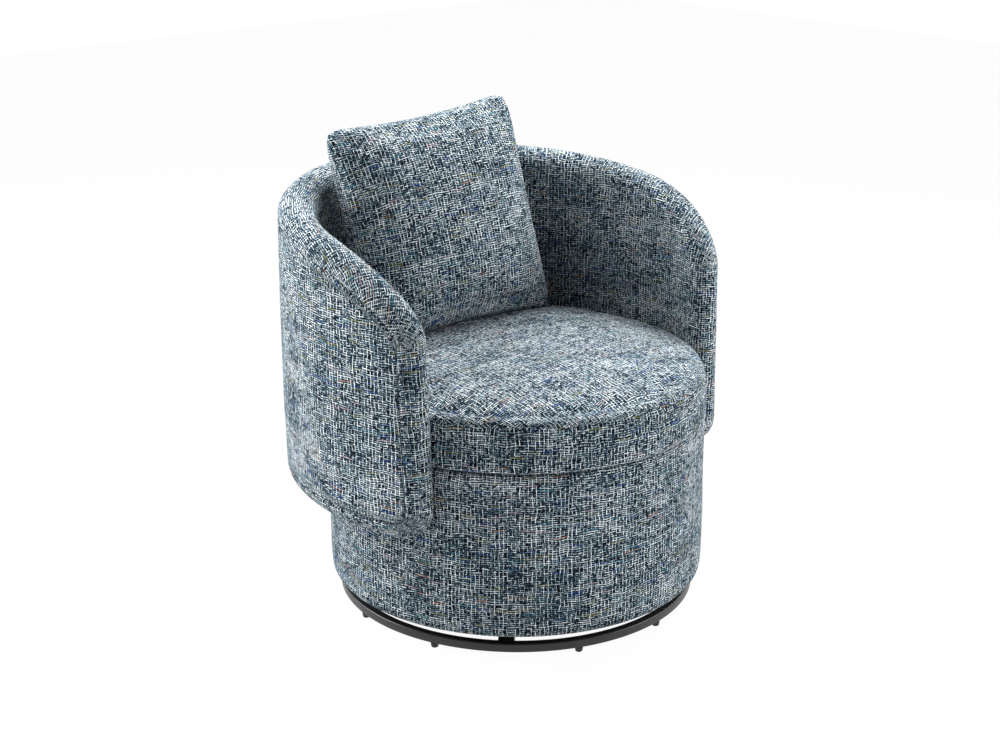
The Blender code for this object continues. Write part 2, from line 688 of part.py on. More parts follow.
def shell_outline():
    """The developed outline of the shell as lower and upper points (run, height), rear in the middle."""
    lower, upper = [], []
    for run in shell_columns():
        from_front = SHELL_HALF_LENGTH - abs(run)
        bottom = SHELL_BOTTOM
        top = RIM_HEIGHT - RIM_FALL * abs(run / SHELL_HALF_LENGTH) ** RIM_FALL_POWER
        if from_front < BOTTOM_CORNER:
            part = 1 - from_front / BOTTOM_CORNER
            bottom += BOTTOM_CORNER * (1 - math.sqrt(1 - part ** 2))
        if from_front < ARM_CORNER_LENGTH:
            part = 1 - from_front / ARM_CORNER_LENGTH
            top -= ARM_CORNER_HEIGHT * (1 - math.sqrt(1 - part ** 2))
        fade = max(0.0, 1 - from_front / SLANT_FADE) ** SLANT_FADE_POWER
        outward = math.copysign(1.0, run)
        for edge, z in ((lower, bottom), (upper, top)):
            edge.append((run + outward * FRONT_SLANT * (SLANT_PIVOT - z) * fade, z))
    return lower, upper


def between(start, end, count):
    """Evenly spaced points inside a straight stretch."""
    return [(start[0] + (end[0] - start[0]) * k / count, start[1] + (end[1] - start[1]) * k / count)
            for k in range(1, count)]


def inset_outline(outline, inset):
    """Move each point of a closed outline inwards, keeping its edges parallel."""
    size = len(outline)
    moved = []
    for k in range(size):
        before, here, after = outline[k - 1], outline[k], outline[(k + 1) % size]
        normals = []
        for a, b in ((before, here), (here, after)):
            dx, dz = b[0] - a[0], b[1] - a[1]
            length = math.hypot(dx, dz)
            normals.append((-dz / length, dx / length))
        (ax, az), (bx, bz) = normals
        share = inset / (1 + ax * bx + az * bz)
        moved.append((here[0] + share * (ax + bx), here[1] + share * (az + bz)))
    return moved


def bend(run, height, offset):
    """Roll a point of the developed shell round the drum, offset outwards from its middle surface."""
    angle = run / SHELL_HALF_LENGTH * SHELL_HALF_ANGLE
    return polar(shell_radius(angle, offset), angle, height)


def bent_solid(name, rings, look, parent, rows=3):
    """A solid bent round the drum, from rings of (inset, offset) that run over its edge.

    The first and the last ring are each closed by a face that is divided along the bend.
    """
    lower, upper = shell_outline()
    columns = len(lower)
    outline = lower + between(lower[-1], upper[-1], rows) + upper[::-1] + between(upper[0], lower[0], rows)
    size = len(outline)
    points, faces = [], band_faces(len(rings), size, False)
    loops = [inset_outline(outline, inset) for inset, _ in rings]
    for loop, (_, offset) in zip(loops, rings):
        points += [bend(run, z, offset) for run, z in loop]
    top_right = columns + rows - 1
    for ring in (0, len(rings) - 1):
        loop, offset = loops[ring], rings[ring][1]
        base = ring * size
        grid = []
        for j in range(columns):
            below, above = j, top_right + columns - 1 - j
            if j == 0:
                line = [size - row for row in range(1, rows)]
            elif j == columns - 1:
                line = [columns + row - 1 for row in range(1, rows)]
            else:
                line = []
                for run, z in between(loop[below], loop[above], rows):
                    line.append(len(points) - base)
                    points.append(bend(run, z, offset))
            grid.append([base + k for k in [below] + line + [above]])
        for j in range(columns - 1):
            for row in range(rows):
                faces.append((grid[j][row], grid[j + 1][row], grid[j + 1][row + 1], grid[j][row + 1]))
    return add_piece(name, points, faces, look, parent, sharp=55)


def shell_edge(steps):
    """Rings of the half-round edge, from the inner face to the outer one."""
    rings = []
    for k in range(steps + 1):
        angle = math.radians(-90 + 180 * k / steps)
        rings.append((EDGE_ROUND * (1 - math.cos(angle)), HALF_THICK * math.sin(angle)))
    return rings


def back_shell(parent, drills):
    """The bent plywood frame, the upholstery that wraps its inside and edges, and the outer panel."""
    wrap_rings = shell_edge(6)
    wrap_rings += [(POCKET_INSET, HALF_THICK - SEAM_DIP), (POCKET_INSET, PANEL_FLOOR),
                   (POCKET_INSET, PLY_FLOOR)]
    wrap = bent_solid("arm_back_upholstery", wrap_rings, "tweed", parent, rows=4)
    combine(wrap, drills, "DIFFERENCE")
    edge = POCKET_INSET + PLY_CLEARANCE
    frame = bent_solid("shell_frame", [(edge, PLY_FLOOR + PLY_CLEARANCE), (edge, PANEL_FLOOR - PLY_CLEARANCE)],
                       "plywood", parent)
    combine(frame, drills, "DIFFERENCE")
    edge = POCKET_INSET + SLIDE_GAP
    panel_rings = [(edge, PANEL_FLOOR), (edge, HALF_THICK - SEAM_DIP), (edge + 2 * SEAM_DIP, HALF_THICK)]
    bent_solid("outer_back_panel", panel_rings, "tweed", parent)


def rear_spacer(parent):
    """The cleat that fills the crescent between the round drum and the deeper rear of the shell."""
    steps = 16
    inner, outer = [], []
    for k in range(steps + 1):
        angle = SPACER_HALF_ANGLE * (2 * k / steps - 1)
        inner.append((DRUM_RADIUS + SLIDE_GAP, angle))
        outer.append((SHELL_INNER + rear_reach(angle) - 2 * SLIDE_GAP, angle))
    outline = inner + outer[::-1]
    points = [polar(radius, angle, z) for z in (SPACER_BOTTOM, SPACER_TOP) for radius, angle in outline]
    size = len(outline)
    faces = band_faces(2, size, False)
    for low in (0, size):
        for k in range(steps):
            faces.append((low + k, low + k + 1, low + size - 2 - k, low + size - 1 - k))
    add_piece("rear_spacer", points, faces, "pine", parent)


def shell_bolts(parent):
    """Bolts from inside the drum posts into the shell's plywood."""
    head_at = POST_FACE - POST_DEPTH - GAP
    for k, degrees in enumerate(SHELL_BOLT_ANGLES):
        reach = shell_radius(math.radians(degrees), PLY_FLOOR) + SHELL_BOLT_BITE
        stations = [(head_at - SHELL_BOLT_HEAD, SHELL_BOLT_HEAD_RADIUS - HEAD_CHAMFER),
                    (head_at, SHELL_BOLT_HEAD_RADIUS), (head_at, SHELL_BOLT_RADIUS),
                    (reach, SHELL_BOLT_RADIUS)]
        turn = Matrix.Rotation(math.radians(-degrees), 4, "Z")
        points = []
        for along, radius in stations:
            for j in range(FINE):
                angle = 2 * math.pi * j / FINE
                local = Vector((radius * math.cos(angle), along, SHELL_BOLT_HEIGHT + radius * math.sin(angle)))
                points.append(turn @ local)
        last = 3 * FINE
        faces = band_faces(4, FINE, False) + [tuple(range(FINE)), tuple(range(last, last + FINE))]
        add_piece(f"shell_bolt_{k + 1}", points, faces, "steel_zinc", parent)


# Soft pieces

def cushion_plan(angle):
    """Radius of the cushion and its share of the nose: it follows the shell at the rear."""
    from_front = math.pi - abs(angle)
    nose = math.cos(math.pi / 2 * min(1.0, from_front / NOSE_HALF_ANGLE))
    return CUSHION_RADIUS + CUSHION_REAR_SHARE * rear_reach(angle), nose


def seat_cushion(parent):
    """A boxed foam cushion: a rolled lower edge, a drawn-in seam and a crowned top.

    Each ring is its inset from the plan, the share of the radius, the height and the nose's share.
    """
    bottom, edge = CUSHION_BOTTOM, CUSHION_LOWER_EDGE
    rings = [(0.0, 0.5, bottom, 0.0), (edge, 1.0, bottom, 0.0)]
    for turn in (30, 60, 90):
        angle = math.radians(turn)
        rings.append((edge * (1 - math.sin(angle)), 1.0, bottom + edge * (1 - math.cos(angle)),
                      math.sin(angle)))
    crown_start = CUSHION_SEAM + CROWN_START_RISE
    rings += [(0.0, 1.0, (bottom + CUSHION_SEAM) / 2, 1.0),
              (0.0, 1.0, CUSHION_SEAM - 2 * SEAM_HALF_WIDTH, 0.8),
              (SEAM_INSET, 1.0, CUSHION_SEAM, 0.4),
              (SEAM_INSET, 1.0, CUSHION_SEAM + SEAM_HALF_WIDTH, 0.4)]
    for share in (0.95, 0.87, 0.76, 0.6, 0.4, 0.2):
        rise = 1 - share ** CUSHION_CROWN_POWER
        rings.append((CROWN_START_INSET, share, crown_start + (CUSHION_TOP - crown_start) * rise, 0.0))
    points = []
    for inset, share, z, bulge in rings:
        for k in range(CUSHION_SEGMENTS):
            angle = 2 * math.pi * k / CUSHION_SEGMENTS
            if angle > math.pi:
                angle -= 2 * math.pi
            plan, nose = cushion_plan(angle)
            radius = (plan + CUSHION_BULGE * nose * bulge - inset) * share
            points.append(polar(radius, angle, z))
    faces = band_faces(len(rings), CUSHION_SEGMENTS, False)
    last = (len(rings) - 1) * CUSHION_SEGMENTS
    faces += [tuple(range(CUSHION_SEGMENTS)), tuple(range(last, last + CUSHION_SEGMENTS))]
    add_piece("seat_cushion", points, faces, "tweed", parent, sharp=80)


def pillow_point(u, v, side):
    """A point of the pillow's front or rear panel, with u and v from -1 to 1 across it."""
    full = max(0.0, (1 - abs(u) ** PILLOW_PLATEAU) * (1 - abs(v) ** PILLOW_PLATEAU))
    round_off = 1 - PILLOW_CORNER_ROUND * (u * v) ** 4
    x = u * PILLOW_WIDTH / 2 * (1 - PILLOW_EDGE_DRAW * (1 - v * v) * u * u)
    z = v * PILLOW_HEIGHT / 2 * (1 - PILLOW_EDGE_DRAW * (1 - u * u) * v * v)
    return Vector((x * round_off, side * PILLOW_THICK / 2 * full ** PILLOW_PINCH, z * round_off))


def throw_pillow(parent):
    """A knife-edge pillow: two panels that meet in a pinched seam, full in the middle.

    It stands with the middle of its lower edge in the cushion's crown, and leans towards the back.
    """
    steps = PILLOW_STEPS
    foot = (PILLOW_SHIFT, DRUM_RADIUS - PILLOW_FOOT_INSET, CUSHION_TOP - PILLOW_FOOT_DROP)
    place = (Matrix.Translation(foot) @ Matrix.Rotation(-PILLOW_LEAN, 4, "X")
             @ Matrix.Translation((0, 0, PILLOW_HEIGHT / 2)))
    index, points, faces = {}, [], []
    for side in (-1, 1):
        for i in range(steps + 1):
            for j in range(steps + 1):
                border = i in (0, steps) or j in (0, steps)
                if border and side > 0:
                    index[side, i, j] = index[-1, i, j]
                    continue
                index[side, i, j] = len(points)
                points.append(place @ pillow_point(2 * i / steps - 1, 2 * j / steps - 1, side))
        for i in range(steps):
            for j in range(steps):
                quad = [index[side, a, b] for a, b in ((i, j), (i + 1, j), (i + 1, j + 1), (i, j + 1))]
                quad = quad if side < 0 else quad[::-1]
                faces += [tuple(quad[:3]), (quad[0], quad[2], quad[3])]
    add_piece("throw_pillow", points, faces, "tweed", parent, sharp=80)


def build():
    clear_scene()
    axis = (0, AXIS_Y, 0)
    base = empty_at("base_body", axis)
    cage = empty_at("cage_body", axis)
    seat = empty_at("seat_body", axis)
    cushion = empty_at("cushion_body", axis)
    pillow = empty_at("pillow_body", axis)

    base_ring(base)
    glides(base)
    cross_bars(base)
    bearing_plate("swivel_lower_plate", LOWER_PLATE_Z, 1, 45, base)
    kingpin(base)
    ball_cage(cage)
    bearing_plate("swivel_upper_plate", UPPER_PLATE_Z, -1, 0, seat)
    plate_bolts(base, seat)

    drills = shell_bolt_cutter(seat)
    seat_board(seat)
    drum_frame(seat, drills)
    drum_cover(seat, drills)
    dust_cover(seat)
    seat_springs(seat)
    deck_cloth(seat)
    back_shell(seat, drills)
    rear_spacer(seat)
    shell_bolts(seat)
    seat_cushion(cushion)
    throw_pillow(pillow)


build()
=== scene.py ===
# %% [markdown]
# # A swivel armchair in chunky tweed
#
# The real chair is a padded barrel: a bent back and two arms in one piece round an upholstered
# drum, with a loose round cushion and a loose pillow, turning over a low black ring of steel
# tube. The engineering model holds every solid and joint, and this scene dresses it: it grows
# the soft pieces that the eye reads as cloth over foam, and gives every solid its finish.
#
# The first step loads the imported model, which stays where it is.

# %% Load the imported chair
import json
import math
from functools import partialmethod

import bmesh
import bpy
import numpy as np
from mathutils import Matrix, Vector
from mathutils.bvhtree import BVHTree


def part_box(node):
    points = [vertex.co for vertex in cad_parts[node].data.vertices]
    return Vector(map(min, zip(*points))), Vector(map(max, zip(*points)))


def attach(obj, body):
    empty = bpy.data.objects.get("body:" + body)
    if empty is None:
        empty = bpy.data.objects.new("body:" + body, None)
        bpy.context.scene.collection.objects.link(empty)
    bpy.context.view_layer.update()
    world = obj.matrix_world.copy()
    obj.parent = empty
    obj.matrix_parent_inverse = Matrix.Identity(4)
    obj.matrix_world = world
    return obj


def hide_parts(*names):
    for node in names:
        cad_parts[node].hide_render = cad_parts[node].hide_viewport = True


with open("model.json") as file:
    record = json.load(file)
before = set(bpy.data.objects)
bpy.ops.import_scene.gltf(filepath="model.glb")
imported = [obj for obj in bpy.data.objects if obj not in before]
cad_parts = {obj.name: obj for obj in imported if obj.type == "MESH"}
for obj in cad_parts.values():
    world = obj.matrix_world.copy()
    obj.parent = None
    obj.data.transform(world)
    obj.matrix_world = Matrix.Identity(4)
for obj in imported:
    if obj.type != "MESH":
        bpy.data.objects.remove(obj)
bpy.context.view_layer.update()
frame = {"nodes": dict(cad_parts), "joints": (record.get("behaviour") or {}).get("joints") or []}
scene = bpy.context.scene
scene.view_settings.view_transform = "Standard"
nodes = frame["nodes"]
swivel_joint = next(joint for joint in frame["joints"] if joint["name"] == "swivel")
AXIS_Y = swivel_joint["pos_m"][1]

# %% [markdown]
# ## The main sizes
#
# Every soft piece is a fuller version of one solid, so it is drawn from the same few sizes: the
# radius of the drum, the developed outline of the wrap-around shell, and the heights of the seams.
# Angles are measured round the swivel axis from the rear of the chair, towards its left and
# right sides, so one rule serves the drum, the shell and the cushion.

# %% Sizes shared by the pieces
DRUM_RADIUS = 0.320
DRUM_BOTTOM, DRUM_TOP = 0.038, 0.318
SHELL_INNER = 0.3205
SHELL_THICK = 0.064
HALF_THICK = SHELL_THICK / 2
SHELL_HALF_ANGLE = math.radians(115)
SHELL_HALF_LENGTH = SHELL_HALF_ANGLE * (SHELL_INNER + HALF_THICK)
SHELL_REAR_REACH = 0.018
ARM_THINNING = 0.011
RIM_HEIGHT, RIM_FALL, RIM_FALL_POWER = 0.702, 0.079, 2.3
ARM_CORNER_LENGTH, ARM_CORNER_HEIGHT = 0.205, 0.090
SHELL_BOTTOM, BOTTOM_CORNER = 0.207, 0.055
FRONT_SLANT, SLANT_PIVOT, SLANT_FADE = 0.036, 0.42, 0.35
EDGE_ROUND = 0.031
POCKET_INSET = 0.032
PANEL_FLOOR = HALF_THICK - 0.008
PLY_FLOOR = PANEL_FLOOR - 0.020
CUSHION_RADIUS = 0.3198
CUSHION_SEAM = 0.394


def rear_reach(angle):
    """How much deeper than a circle the shell is, most at the rear and none at the front."""
    return SHELL_REAR_REACH * ((1 + np.cos(angle)) / 2) ** 2.5


def polar(radius, angle, z):
    """World points at an angle from the rear of the chair, round the swivel axis."""
    return np.stack([radius * np.sin(angle), radius * np.cos(angle) + AXIS_Y, z + 0 * radius], -1)


print("shell is", round(2 * SHELL_HALF_LENGTH, 3), "m long when laid flat")

# %% [markdown]
# ## The camera
#
# The photograph was taken from the chair's front left, a little above the rim, with a longish
# lens. The place, tilt and lens come from fitting circles of known height (the ring, the drum,
# the seams) to the picture, so nothing has to be shifted or cropped.

# %% Camera at the photograph's viewpoint
CAMERA_AZIMUTH = math.radians(-41.9)
CAMERA_DISTANCE, CAMERA_HEIGHT = 2.8910, 1.3639
CAMERA_PITCH, CAMERA_YAW = 0.3298, -0.0098

camera_data = bpy.data.cameras.new("photo_camera")
camera_data.lens, camera_data.sensor_width = 64.8, 36.0
camera = bpy.data.objects.new("photo_camera", camera_data)
scene.collection.objects.link(camera)
camera.location = (CAMERA_DISTANCE * math.sin(CAMERA_AZIMUTH),
                   AXIS_Y - CAMERA_DISTANCE * math.cos(CAMERA_AZIMUTH), CAMERA_HEIGHT)
camera.rotation_euler = (math.pi / 2 - CAMERA_PITCH, 0, CAMERA_AZIMUTH - CAMERA_YAW)
scene.camera = camera
print("camera at", [round(v, 3) for v in camera.location])

# %% [markdown]
# ## A short way to write node trees
#
# A woven pattern is arithmetic: which yarn is this point on, which yarn lies on top here, how
# far is it from the middle of the yarn. Written node by node that is hundreds of lines. So one
# helper adds a node with its settings and links, and a small wrapper lets ordinary sums in
# Python lay down the Math nodes.


# %% Sums that become Math nodes
def add_node(tree, kind, inputs=None, **settings):
    """A node with its settings, and each input linked to a wire or a socket or set to a value."""
    node = tree.nodes.new(kind)
    for key, value in settings.items():
        setattr(node, key, value)
    for key, value in (inputs or {}).items():
        value = value.socket if isinstance(value, Wire) else value
        if isinstance(value, bpy.types.NodeSocket):
            tree.links.new(value, node.inputs[key])
        else:
            node.inputs[key].default_value = value
    return node


class Wire:
    """One output of a node tree, which can be added, multiplied, floored and so on."""

    def __init__(self, tree, socket):
        self.tree, self.socket = tree, socket

    def math(self, kind, *others):
        """A Math node fed by this wire and then by the others."""
        inputs = dict(enumerate((self, *others)))
        return Wire(self.tree, add_node(self.tree, "ShaderNodeMath", inputs, operation=kind).outputs[0])

    __add__, __sub__ = partialmethod(math, "ADD"), partialmethod(math, "SUBTRACT")
    __mul__, __truediv__ = partialmethod(math, "MULTIPLY"), partialmethod(math, "DIVIDE")
    floor, fraction = partialmethod(math, "FLOOR"), partialmethod(math, "FRACT")
    above = partialmethod(math, "GREATER_THAN")

    def hump(self):
        """0 at whole numbers and 1 half-way between them, as across a row of round yarns."""
        return (self * math.pi).math("SINE").math("ABSOLUTE")

    def between(self, low, high):
        """0 below low, 1 above high and a smooth rise between them."""
        node = add_node(self.tree, "ShaderNodeMapRange",
                        {"Value": self, "From Min": low, "From Max": high}, interpolation_type="SMOOTHSTEP")
        return Wire(self.tree, node.outputs["Result"])


def point_of(tree, x, y, z=0.0):
    """A vector made of two or three wires."""
    return add_node(tree, "ShaderNodeCombineXYZ", {0: x, 1: y, 2: z}).outputs[0]


def dice(tree, x, y, seed):
    """A random number for each whole pair (x, y), the same on every run."""
    place = {"Vector": point_of(tree, x, y, seed)}
    node = add_node(tree, "ShaderNodeTexWhiteNoise", place, noise_dimensions="3D")
    return Wire(tree, node.outputs["Value"])


def cloud(tree, vector, scale, detail=2.0, roughness=0.5):
    """Smooth noise, about 0.5 on average."""
    inputs = {"Vector": vector, "Scale": scale, "Detail": detail, "Roughness": roughness}
    return Wire(tree, add_node(tree, "ShaderNodeTexNoise", inputs).outputs["Fac"])


def new_material(name, roughness, metallic=0.0, specular=0.5):
    """A material with its Principled shader, and the tree to add a pattern to."""
    made = bpy.data.materials.new(name)
    made.use_nodes = True
    shader = made.node_tree.nodes["Principled BSDF"]
    shader.inputs["Roughness"].default_value = roughness
    shader.inputs["Metallic"].default_value = metallic
    shader.inputs["Specular IOR Level"].default_value = specular
    return made, made.node_tree, shader


def ramp(tree, value, stops, constant=False):
    """A colour looked up by value from (position, colour) stops."""
    node = add_node(tree, "ShaderNodeValToRGB", {"Fac": value})
    node.color_ramp.interpolation = "CONSTANT" if constant else "LINEAR"
    elements = node.color_ramp.elements
    while len(elements) < len(stops):
        elements.new(0.5)
    for element, (position, colour) in zip(elements, stops):
        element.position = position
        element.color = (*colour, 1)
    return node.outputs["Color"]


def mix_colour(tree, share, first, second, kind="MIX"):
    """Blend two colour outputs by a wire or a number."""
    inputs = {"Factor": share, "A": first, "B": second}
    return add_node(tree, "ShaderNodeMix", inputs, data_type="RGBA", blend_type=kind).outputs["Result"]


def grey(tree, wire):
    """A wire as a grey colour."""
    return add_node(tree, "ShaderNodeCombineColor", {0: wire, 1: wire, 2: wire}).outputs[0]


def bump(tree, shader, height, distance, strength=1.0):
    """Feed a height to the shader's normal."""
    inputs = {"Height": height, "Distance": distance, "Strength": strength}
    tree.links.new(add_node(tree, "ShaderNodeBump", inputs).outputs["Normal"], shader.inputs["Normal"])


print("node helpers ready")

# %% [markdown]
# ## The floor and the light
#
# The chair stands on a plain white ground. The floor is a wide plate that the camera sees almost
# as pure white, with a share of ordinary diffuse white so that the chair keeps a faint shadow.
# Six soft boxes hang round the chair. The strongest stands behind its left arm, where the cloth
# is palest, two hang over the seat and make its top the brightest part, and the others lift the
# front and the inside of the right arm. The world fills the shadows. Cloth this coarse needs
# soft light with a direction: from straight in front, its yarns would go flat.


# %% Floor
def background_material(name, colour, white_share):
    """White for the camera and for reflections, plain diffuse for the light that it gives back."""
    made = bpy.data.materials.new(name)
    made.use_nodes = True
    tree = made.node_tree
    tree.nodes.clear()
    rays = add_node(tree, "ShaderNodeLightPath").outputs
    seen = Wire(tree, rays["Is Camera Ray"]).math("MAXIMUM", rays["Is Glossy Ray"])
    seen = seen.math("MAXIMUM", rays["Is Transmission Ray"]) * white_share
    ground = add_node(tree, "ShaderNodeBsdfDiffuse", {"Color": (*colour, 1)})
    glow = add_node(tree, "ShaderNodeEmission")
    mix = add_node(tree, "ShaderNodeMixShader", {"Fac": seen, 1: ground.outputs[0], 2: glow.outputs[0]})
    add_node(tree, "ShaderNodeOutputMaterial", {"Surface": mix.outputs[0]})
    return made


FLOOR_HALF = 6.0
GROUND_COLOUR, GROUND_WHITE = (0.82, 0.82, 0.82), 0.97
floor_mesh = bpy.data.meshes.new("floor")
floor_mesh.from_pydata([(-FLOOR_HALF, -FLOOR_HALF, 0), (FLOOR_HALF, -FLOOR_HALF, 0),
                        (FLOOR_HALF, FLOOR_HALF, 0), (-FLOOR_HALF, FLOOR_HALF, 0)], [], [(0, 1, 2, 3)])
floor = bpy.data.objects.new("floor", floor_mesh)
scene.collection.objects.link(floor)
floor_mesh.materials.append(background_material("white_ground", GROUND_COLOUR, GROUND_WHITE))
print("floor", 2 * FLOOR_HALF, "m square")

# %% Lamps and world
LAMP_TARGET = Vector((0, 0, 0.4))
LAMPS = (("rear_left_softbox", (-1.7, 1.9, 1.6), 1.4, 112), ("rear_top_softbox", (0.0, 1.3, 2.4), 1.4, 70),
         ("right_top_softbox", (1.4, 0.2, 2.3), 1.3, 71), ("right_front_softbox", (1.7, -1.9, 1.3), 1.4, 49),
         ("right_softbox", (2.5, 0.0, 1.2), 1.4, 30), ("left_top_softbox", (-1.4, 0.4, 2.3), 1.3, 12))
for name, place, size, power in LAMPS:
    lamp = bpy.data.lights.new(name, "AREA")
    lamp.shape, lamp.size, lamp.energy = "SQUARE", size, power
    holder = bpy.data.objects.new(name, lamp)
    holder.location = place
    holder.rotation_euler = (LAMP_TARGET - Vector(place)).to_track_quat("-Z", "Y").to_euler()
    scene.collection.objects.link(holder)

FILL_STRENGTH = 0.27
world = bpy.data.worlds.new("white_room")
world.use_nodes = True
scene.world = world
sky = world.node_tree
sky.nodes.clear()
sky_fill = add_node(sky, "ShaderNodeBackground", {"Color": (0.97, 0.985, 1.0, 1), "Strength": FILL_STRENGTH})
sky_seen = add_node(sky, "ShaderNodeBackground", {"Color": (1, 1, 1, 1), "Strength": 1.0})
sky_rays = add_node(sky, "ShaderNodeLightPath")
sky_mix = add_node(sky, "ShaderNodeMixShader", {"Fac": sky_rays.outputs["Is Camera Ray"],
                                                1: sky_fill.outputs[0], 2: sky_seen.outputs[0]})
add_node(sky, "ShaderNodeOutputWorld", {"Surface": sky_mix.outputs[0]})

# %% [markdown]
# ## The tweed
#
# The cover is a chunky tweed in a plain weave. Thick weft rows run along the cloth, and thinner
# warp stitches lie over every second crossing. Each yarn changes tone smoothly along its
# length: white, pale grey-blue, slate, navy and black. Here and there a thin pale thread lies on
# a yarn, and a short fleck is olive, rust, pink or teal. The gaps between the rows are darkened
# with painted shade. The pattern counts yarns along and across, so each one has a tone of its own.
# It reads a UV map in real metres, so the weave runs round the drum, over the shell and across
# the cushion's top.

# %% Tweed material
WARP_PITCH, WEFT_PITCH = 0.0032, 0.0037
WANDER = 2.4                    # how far yarns stray from straight, in pitches
LANES = 90.0                    # spreads the yarns' lanes over the noise, so that no two are alike
PATCH, FUZZ = 0.60, 1.20        # share of broad patches and of loose fibre in a yarn's tone
ROW_TONE, STITCH_TONE = 0.07, 0.15
LINE_LIMIT = 0.42               # lower shows more of the thin pale threads
FLECK_RATE, FLECK_STEP, FLECK_SHARE = 0.08, 0.13, 0.55
TWEED_RELIEF = 0.0011
WEFT_STOPS = [(0.18, (0.001, 0.002, 0.003)), (0.36, (0.004, 0.012, 0.024)), (0.48, (0.016, 0.050, 0.100)),
              (0.58, (0.070, 0.150, 0.230)), (0.70, (0.260, 0.400, 0.490)), (0.84, (0.700, 0.880, 0.950))]
WARP_STOPS = [(0.14, (0.002, 0.004, 0.008)), (0.30, (0.018, 0.052, 0.100)), (0.44, (0.115, 0.215, 0.300)),
              (0.56, (0.400, 0.550, 0.620)), (0.72, (0.960, 1.000, 1.000))]
TINT_STOPS = [(0.34, (0.36, 0.60, 1.00)), (0.46, (0.66, 0.92, 1.00)), (0.54, (0.90, 1.00, 1.00)),
              (0.62, (1.00, 1.00, 0.76)), (0.70, (1.00, 0.86, 0.66))]
FLECK_STOPS = [(0.0, (0.240, 0.230, 0.080)), (0.3, (0.012, 0.060, 0.260)), (0.6, (0.350, 0.160, 0.070)),
               (0.68, (0.020, 0.190, 0.250)), (0.88, (0.400, 0.280, 0.320))]


def tweed_material(name):
    """Thick weft rows crossed by thinner warp stitches, read from the piece's own map in metres."""
    made, tree, shader = new_material(name, 0.92, specular=0.08)
    shader.inputs["Sheen Weight"].default_value = 0.04
    shader.inputs["Sheen Roughness"].default_value = 0.45
    source = add_node(tree, "ShaderNodeUVMap", uv_map="weave").outputs[0]
    split = add_node(tree, "ShaderNodeSeparateXYZ", {0: source}).outputs
    u, v = Wire(tree, split["X"]), Wire(tree, split["Y"])
    u = u + (cloud(tree, source, 34, 1.0, 0.5) - 0.5) * (WARP_PITCH * WANDER)
    v = v + (cloud(tree, point_of(tree, v, u), 30, 1.0, 0.5) - 0.5) * (WEFT_PITCH * WANDER)
    across, along = u / WARP_PITCH, v / WEFT_PITCH
    column, row = across.floor(), along.floor()
    patch = cloud(tree, point_of(tree, u * 0.6, v), 22, 3.0, 0.6)
    fuzz = cloud(tree, source, 900, 1.0)

    def yarn_tone(index, travel, middle, seed):
        """How dark or pale a yarn is along its length: it changes smoothly, yarn by yarn."""
        lane = dice(tree, index, 0.0, seed) * LANES
        run = cloud(tree, point_of(tree, travel, lane, seed), 1.0, 3.0, 0.75)
        own = dice(tree, index, 1.0, seed)
        return (run - 0.5) * 2.1 + (own - 0.5) * 0.20 + middle + (patch - 0.5) * PATCH + (fuzz - 0.5) * FUZZ

    weft = yarn_tone(row, u * 90.0, ROW_TONE, 3.0)
    warp = yarn_tone(column, v * 110.0, STITCH_TONE, 11.0)
    stitch = ((along + column - 0.5) * 0.5).hump().between(0.30, 0.70)
    shown = stitch * across.hump().between(0.56, 0.88)

    def pale_line(thread, index, travel, seed):
        """A thin pale thread that lies on a yarn for some lengths and is hidden for others."""
        run = cloud(tree, point_of(tree, travel, dice(tree, index, 2.0, seed) * LANES), 1.0, 3.0, 0.7)
        return thread.hump().between(0.80, 0.96) * run.between(LINE_LIMIT, LINE_LIMIT + 0.06)

    row_line = pale_line(along, row, u * 120.0, 51.0)
    odd_column = (column * 0.5).fraction() * 2.0
    column_line = pale_line(across, column, v * 110.0, 61.0) * odd_column

    base = ramp(tree, weft, WEFT_STOPS)
    tint = ramp(tree, cloud(tree, point_of(tree, u * 0.7, v), 38, 1.0), TINT_STOPS)
    base = mix_colour(tree, 0.9, base, tint, "MULTIPLY")
    fleck = dice(tree, row, (across * FLECK_STEP).floor(), 27.0)
    flecks = ramp(tree, (fleck * 37.0).fraction(), FLECK_STOPS, constant=True)
    # Painted shade: each weft row's colour is darkened towards its edges, so the gaps between the rows are
    # dark.
    row_gap_shade = along.hump().between(0.30, 0.95) * 0.97 + 0.03
    base = mix_colour(tree, 1.0, base, grey(tree, row_gap_shade), "MULTIPLY")
    stitches = ramp(tree, warp, WARP_STOPS)
    base = mix_colour(tree, shown, base, stitches)
    base = mix_colour(tree, row_line, base, ramp(tree, weft + 0.46, WARP_STOPS))
    fleck_here = fleck.above(1 - FLECK_RATE) * along.hump().between(0.30, 0.90)
    base = mix_colour(tree, fleck_here * FLECK_SHARE, base, flecks)
    base = mix_colour(tree, column_line, base, ramp(tree, warp + 0.44, WARP_STOPS))
    height = along.hump() * 0.7 + shown * 0.6 + (row_line + column_line) * 0.2 + (fuzz - 0.5) * 0.3
    tree.links.new(base, shader.inputs["Base Color"])
    bump(tree, shader, height, TWEED_RELIEF, 0.9)
    return made


tweed = tweed_material("tweed")
print("tweed nodes", len(tweed.node_tree.nodes))

# %% [markdown]
# ## Finishes for the hard parts
#
# The ring is steel tube under a satin black powder coat, which has a very fine orange-peel
# surface and a little dust. The glides are matt moulded plastic. The bearing and the bolts are
# zinc plated: bright, slightly blotched. Plywood and pine show their grain. Each of these is a
# noise stretched or scaled to the size of the real mark, used in colour, roughness and relief.


# %% Hard finishes
def object_point(tree, scale):
    """Object coordinates, stretched by three factors."""
    source = add_node(tree, "ShaderNodeTexCoord").outputs["Object"]
    return add_node(tree, "ShaderNodeMapping", {"Scale": scale, "Vector": source}).outputs[0]


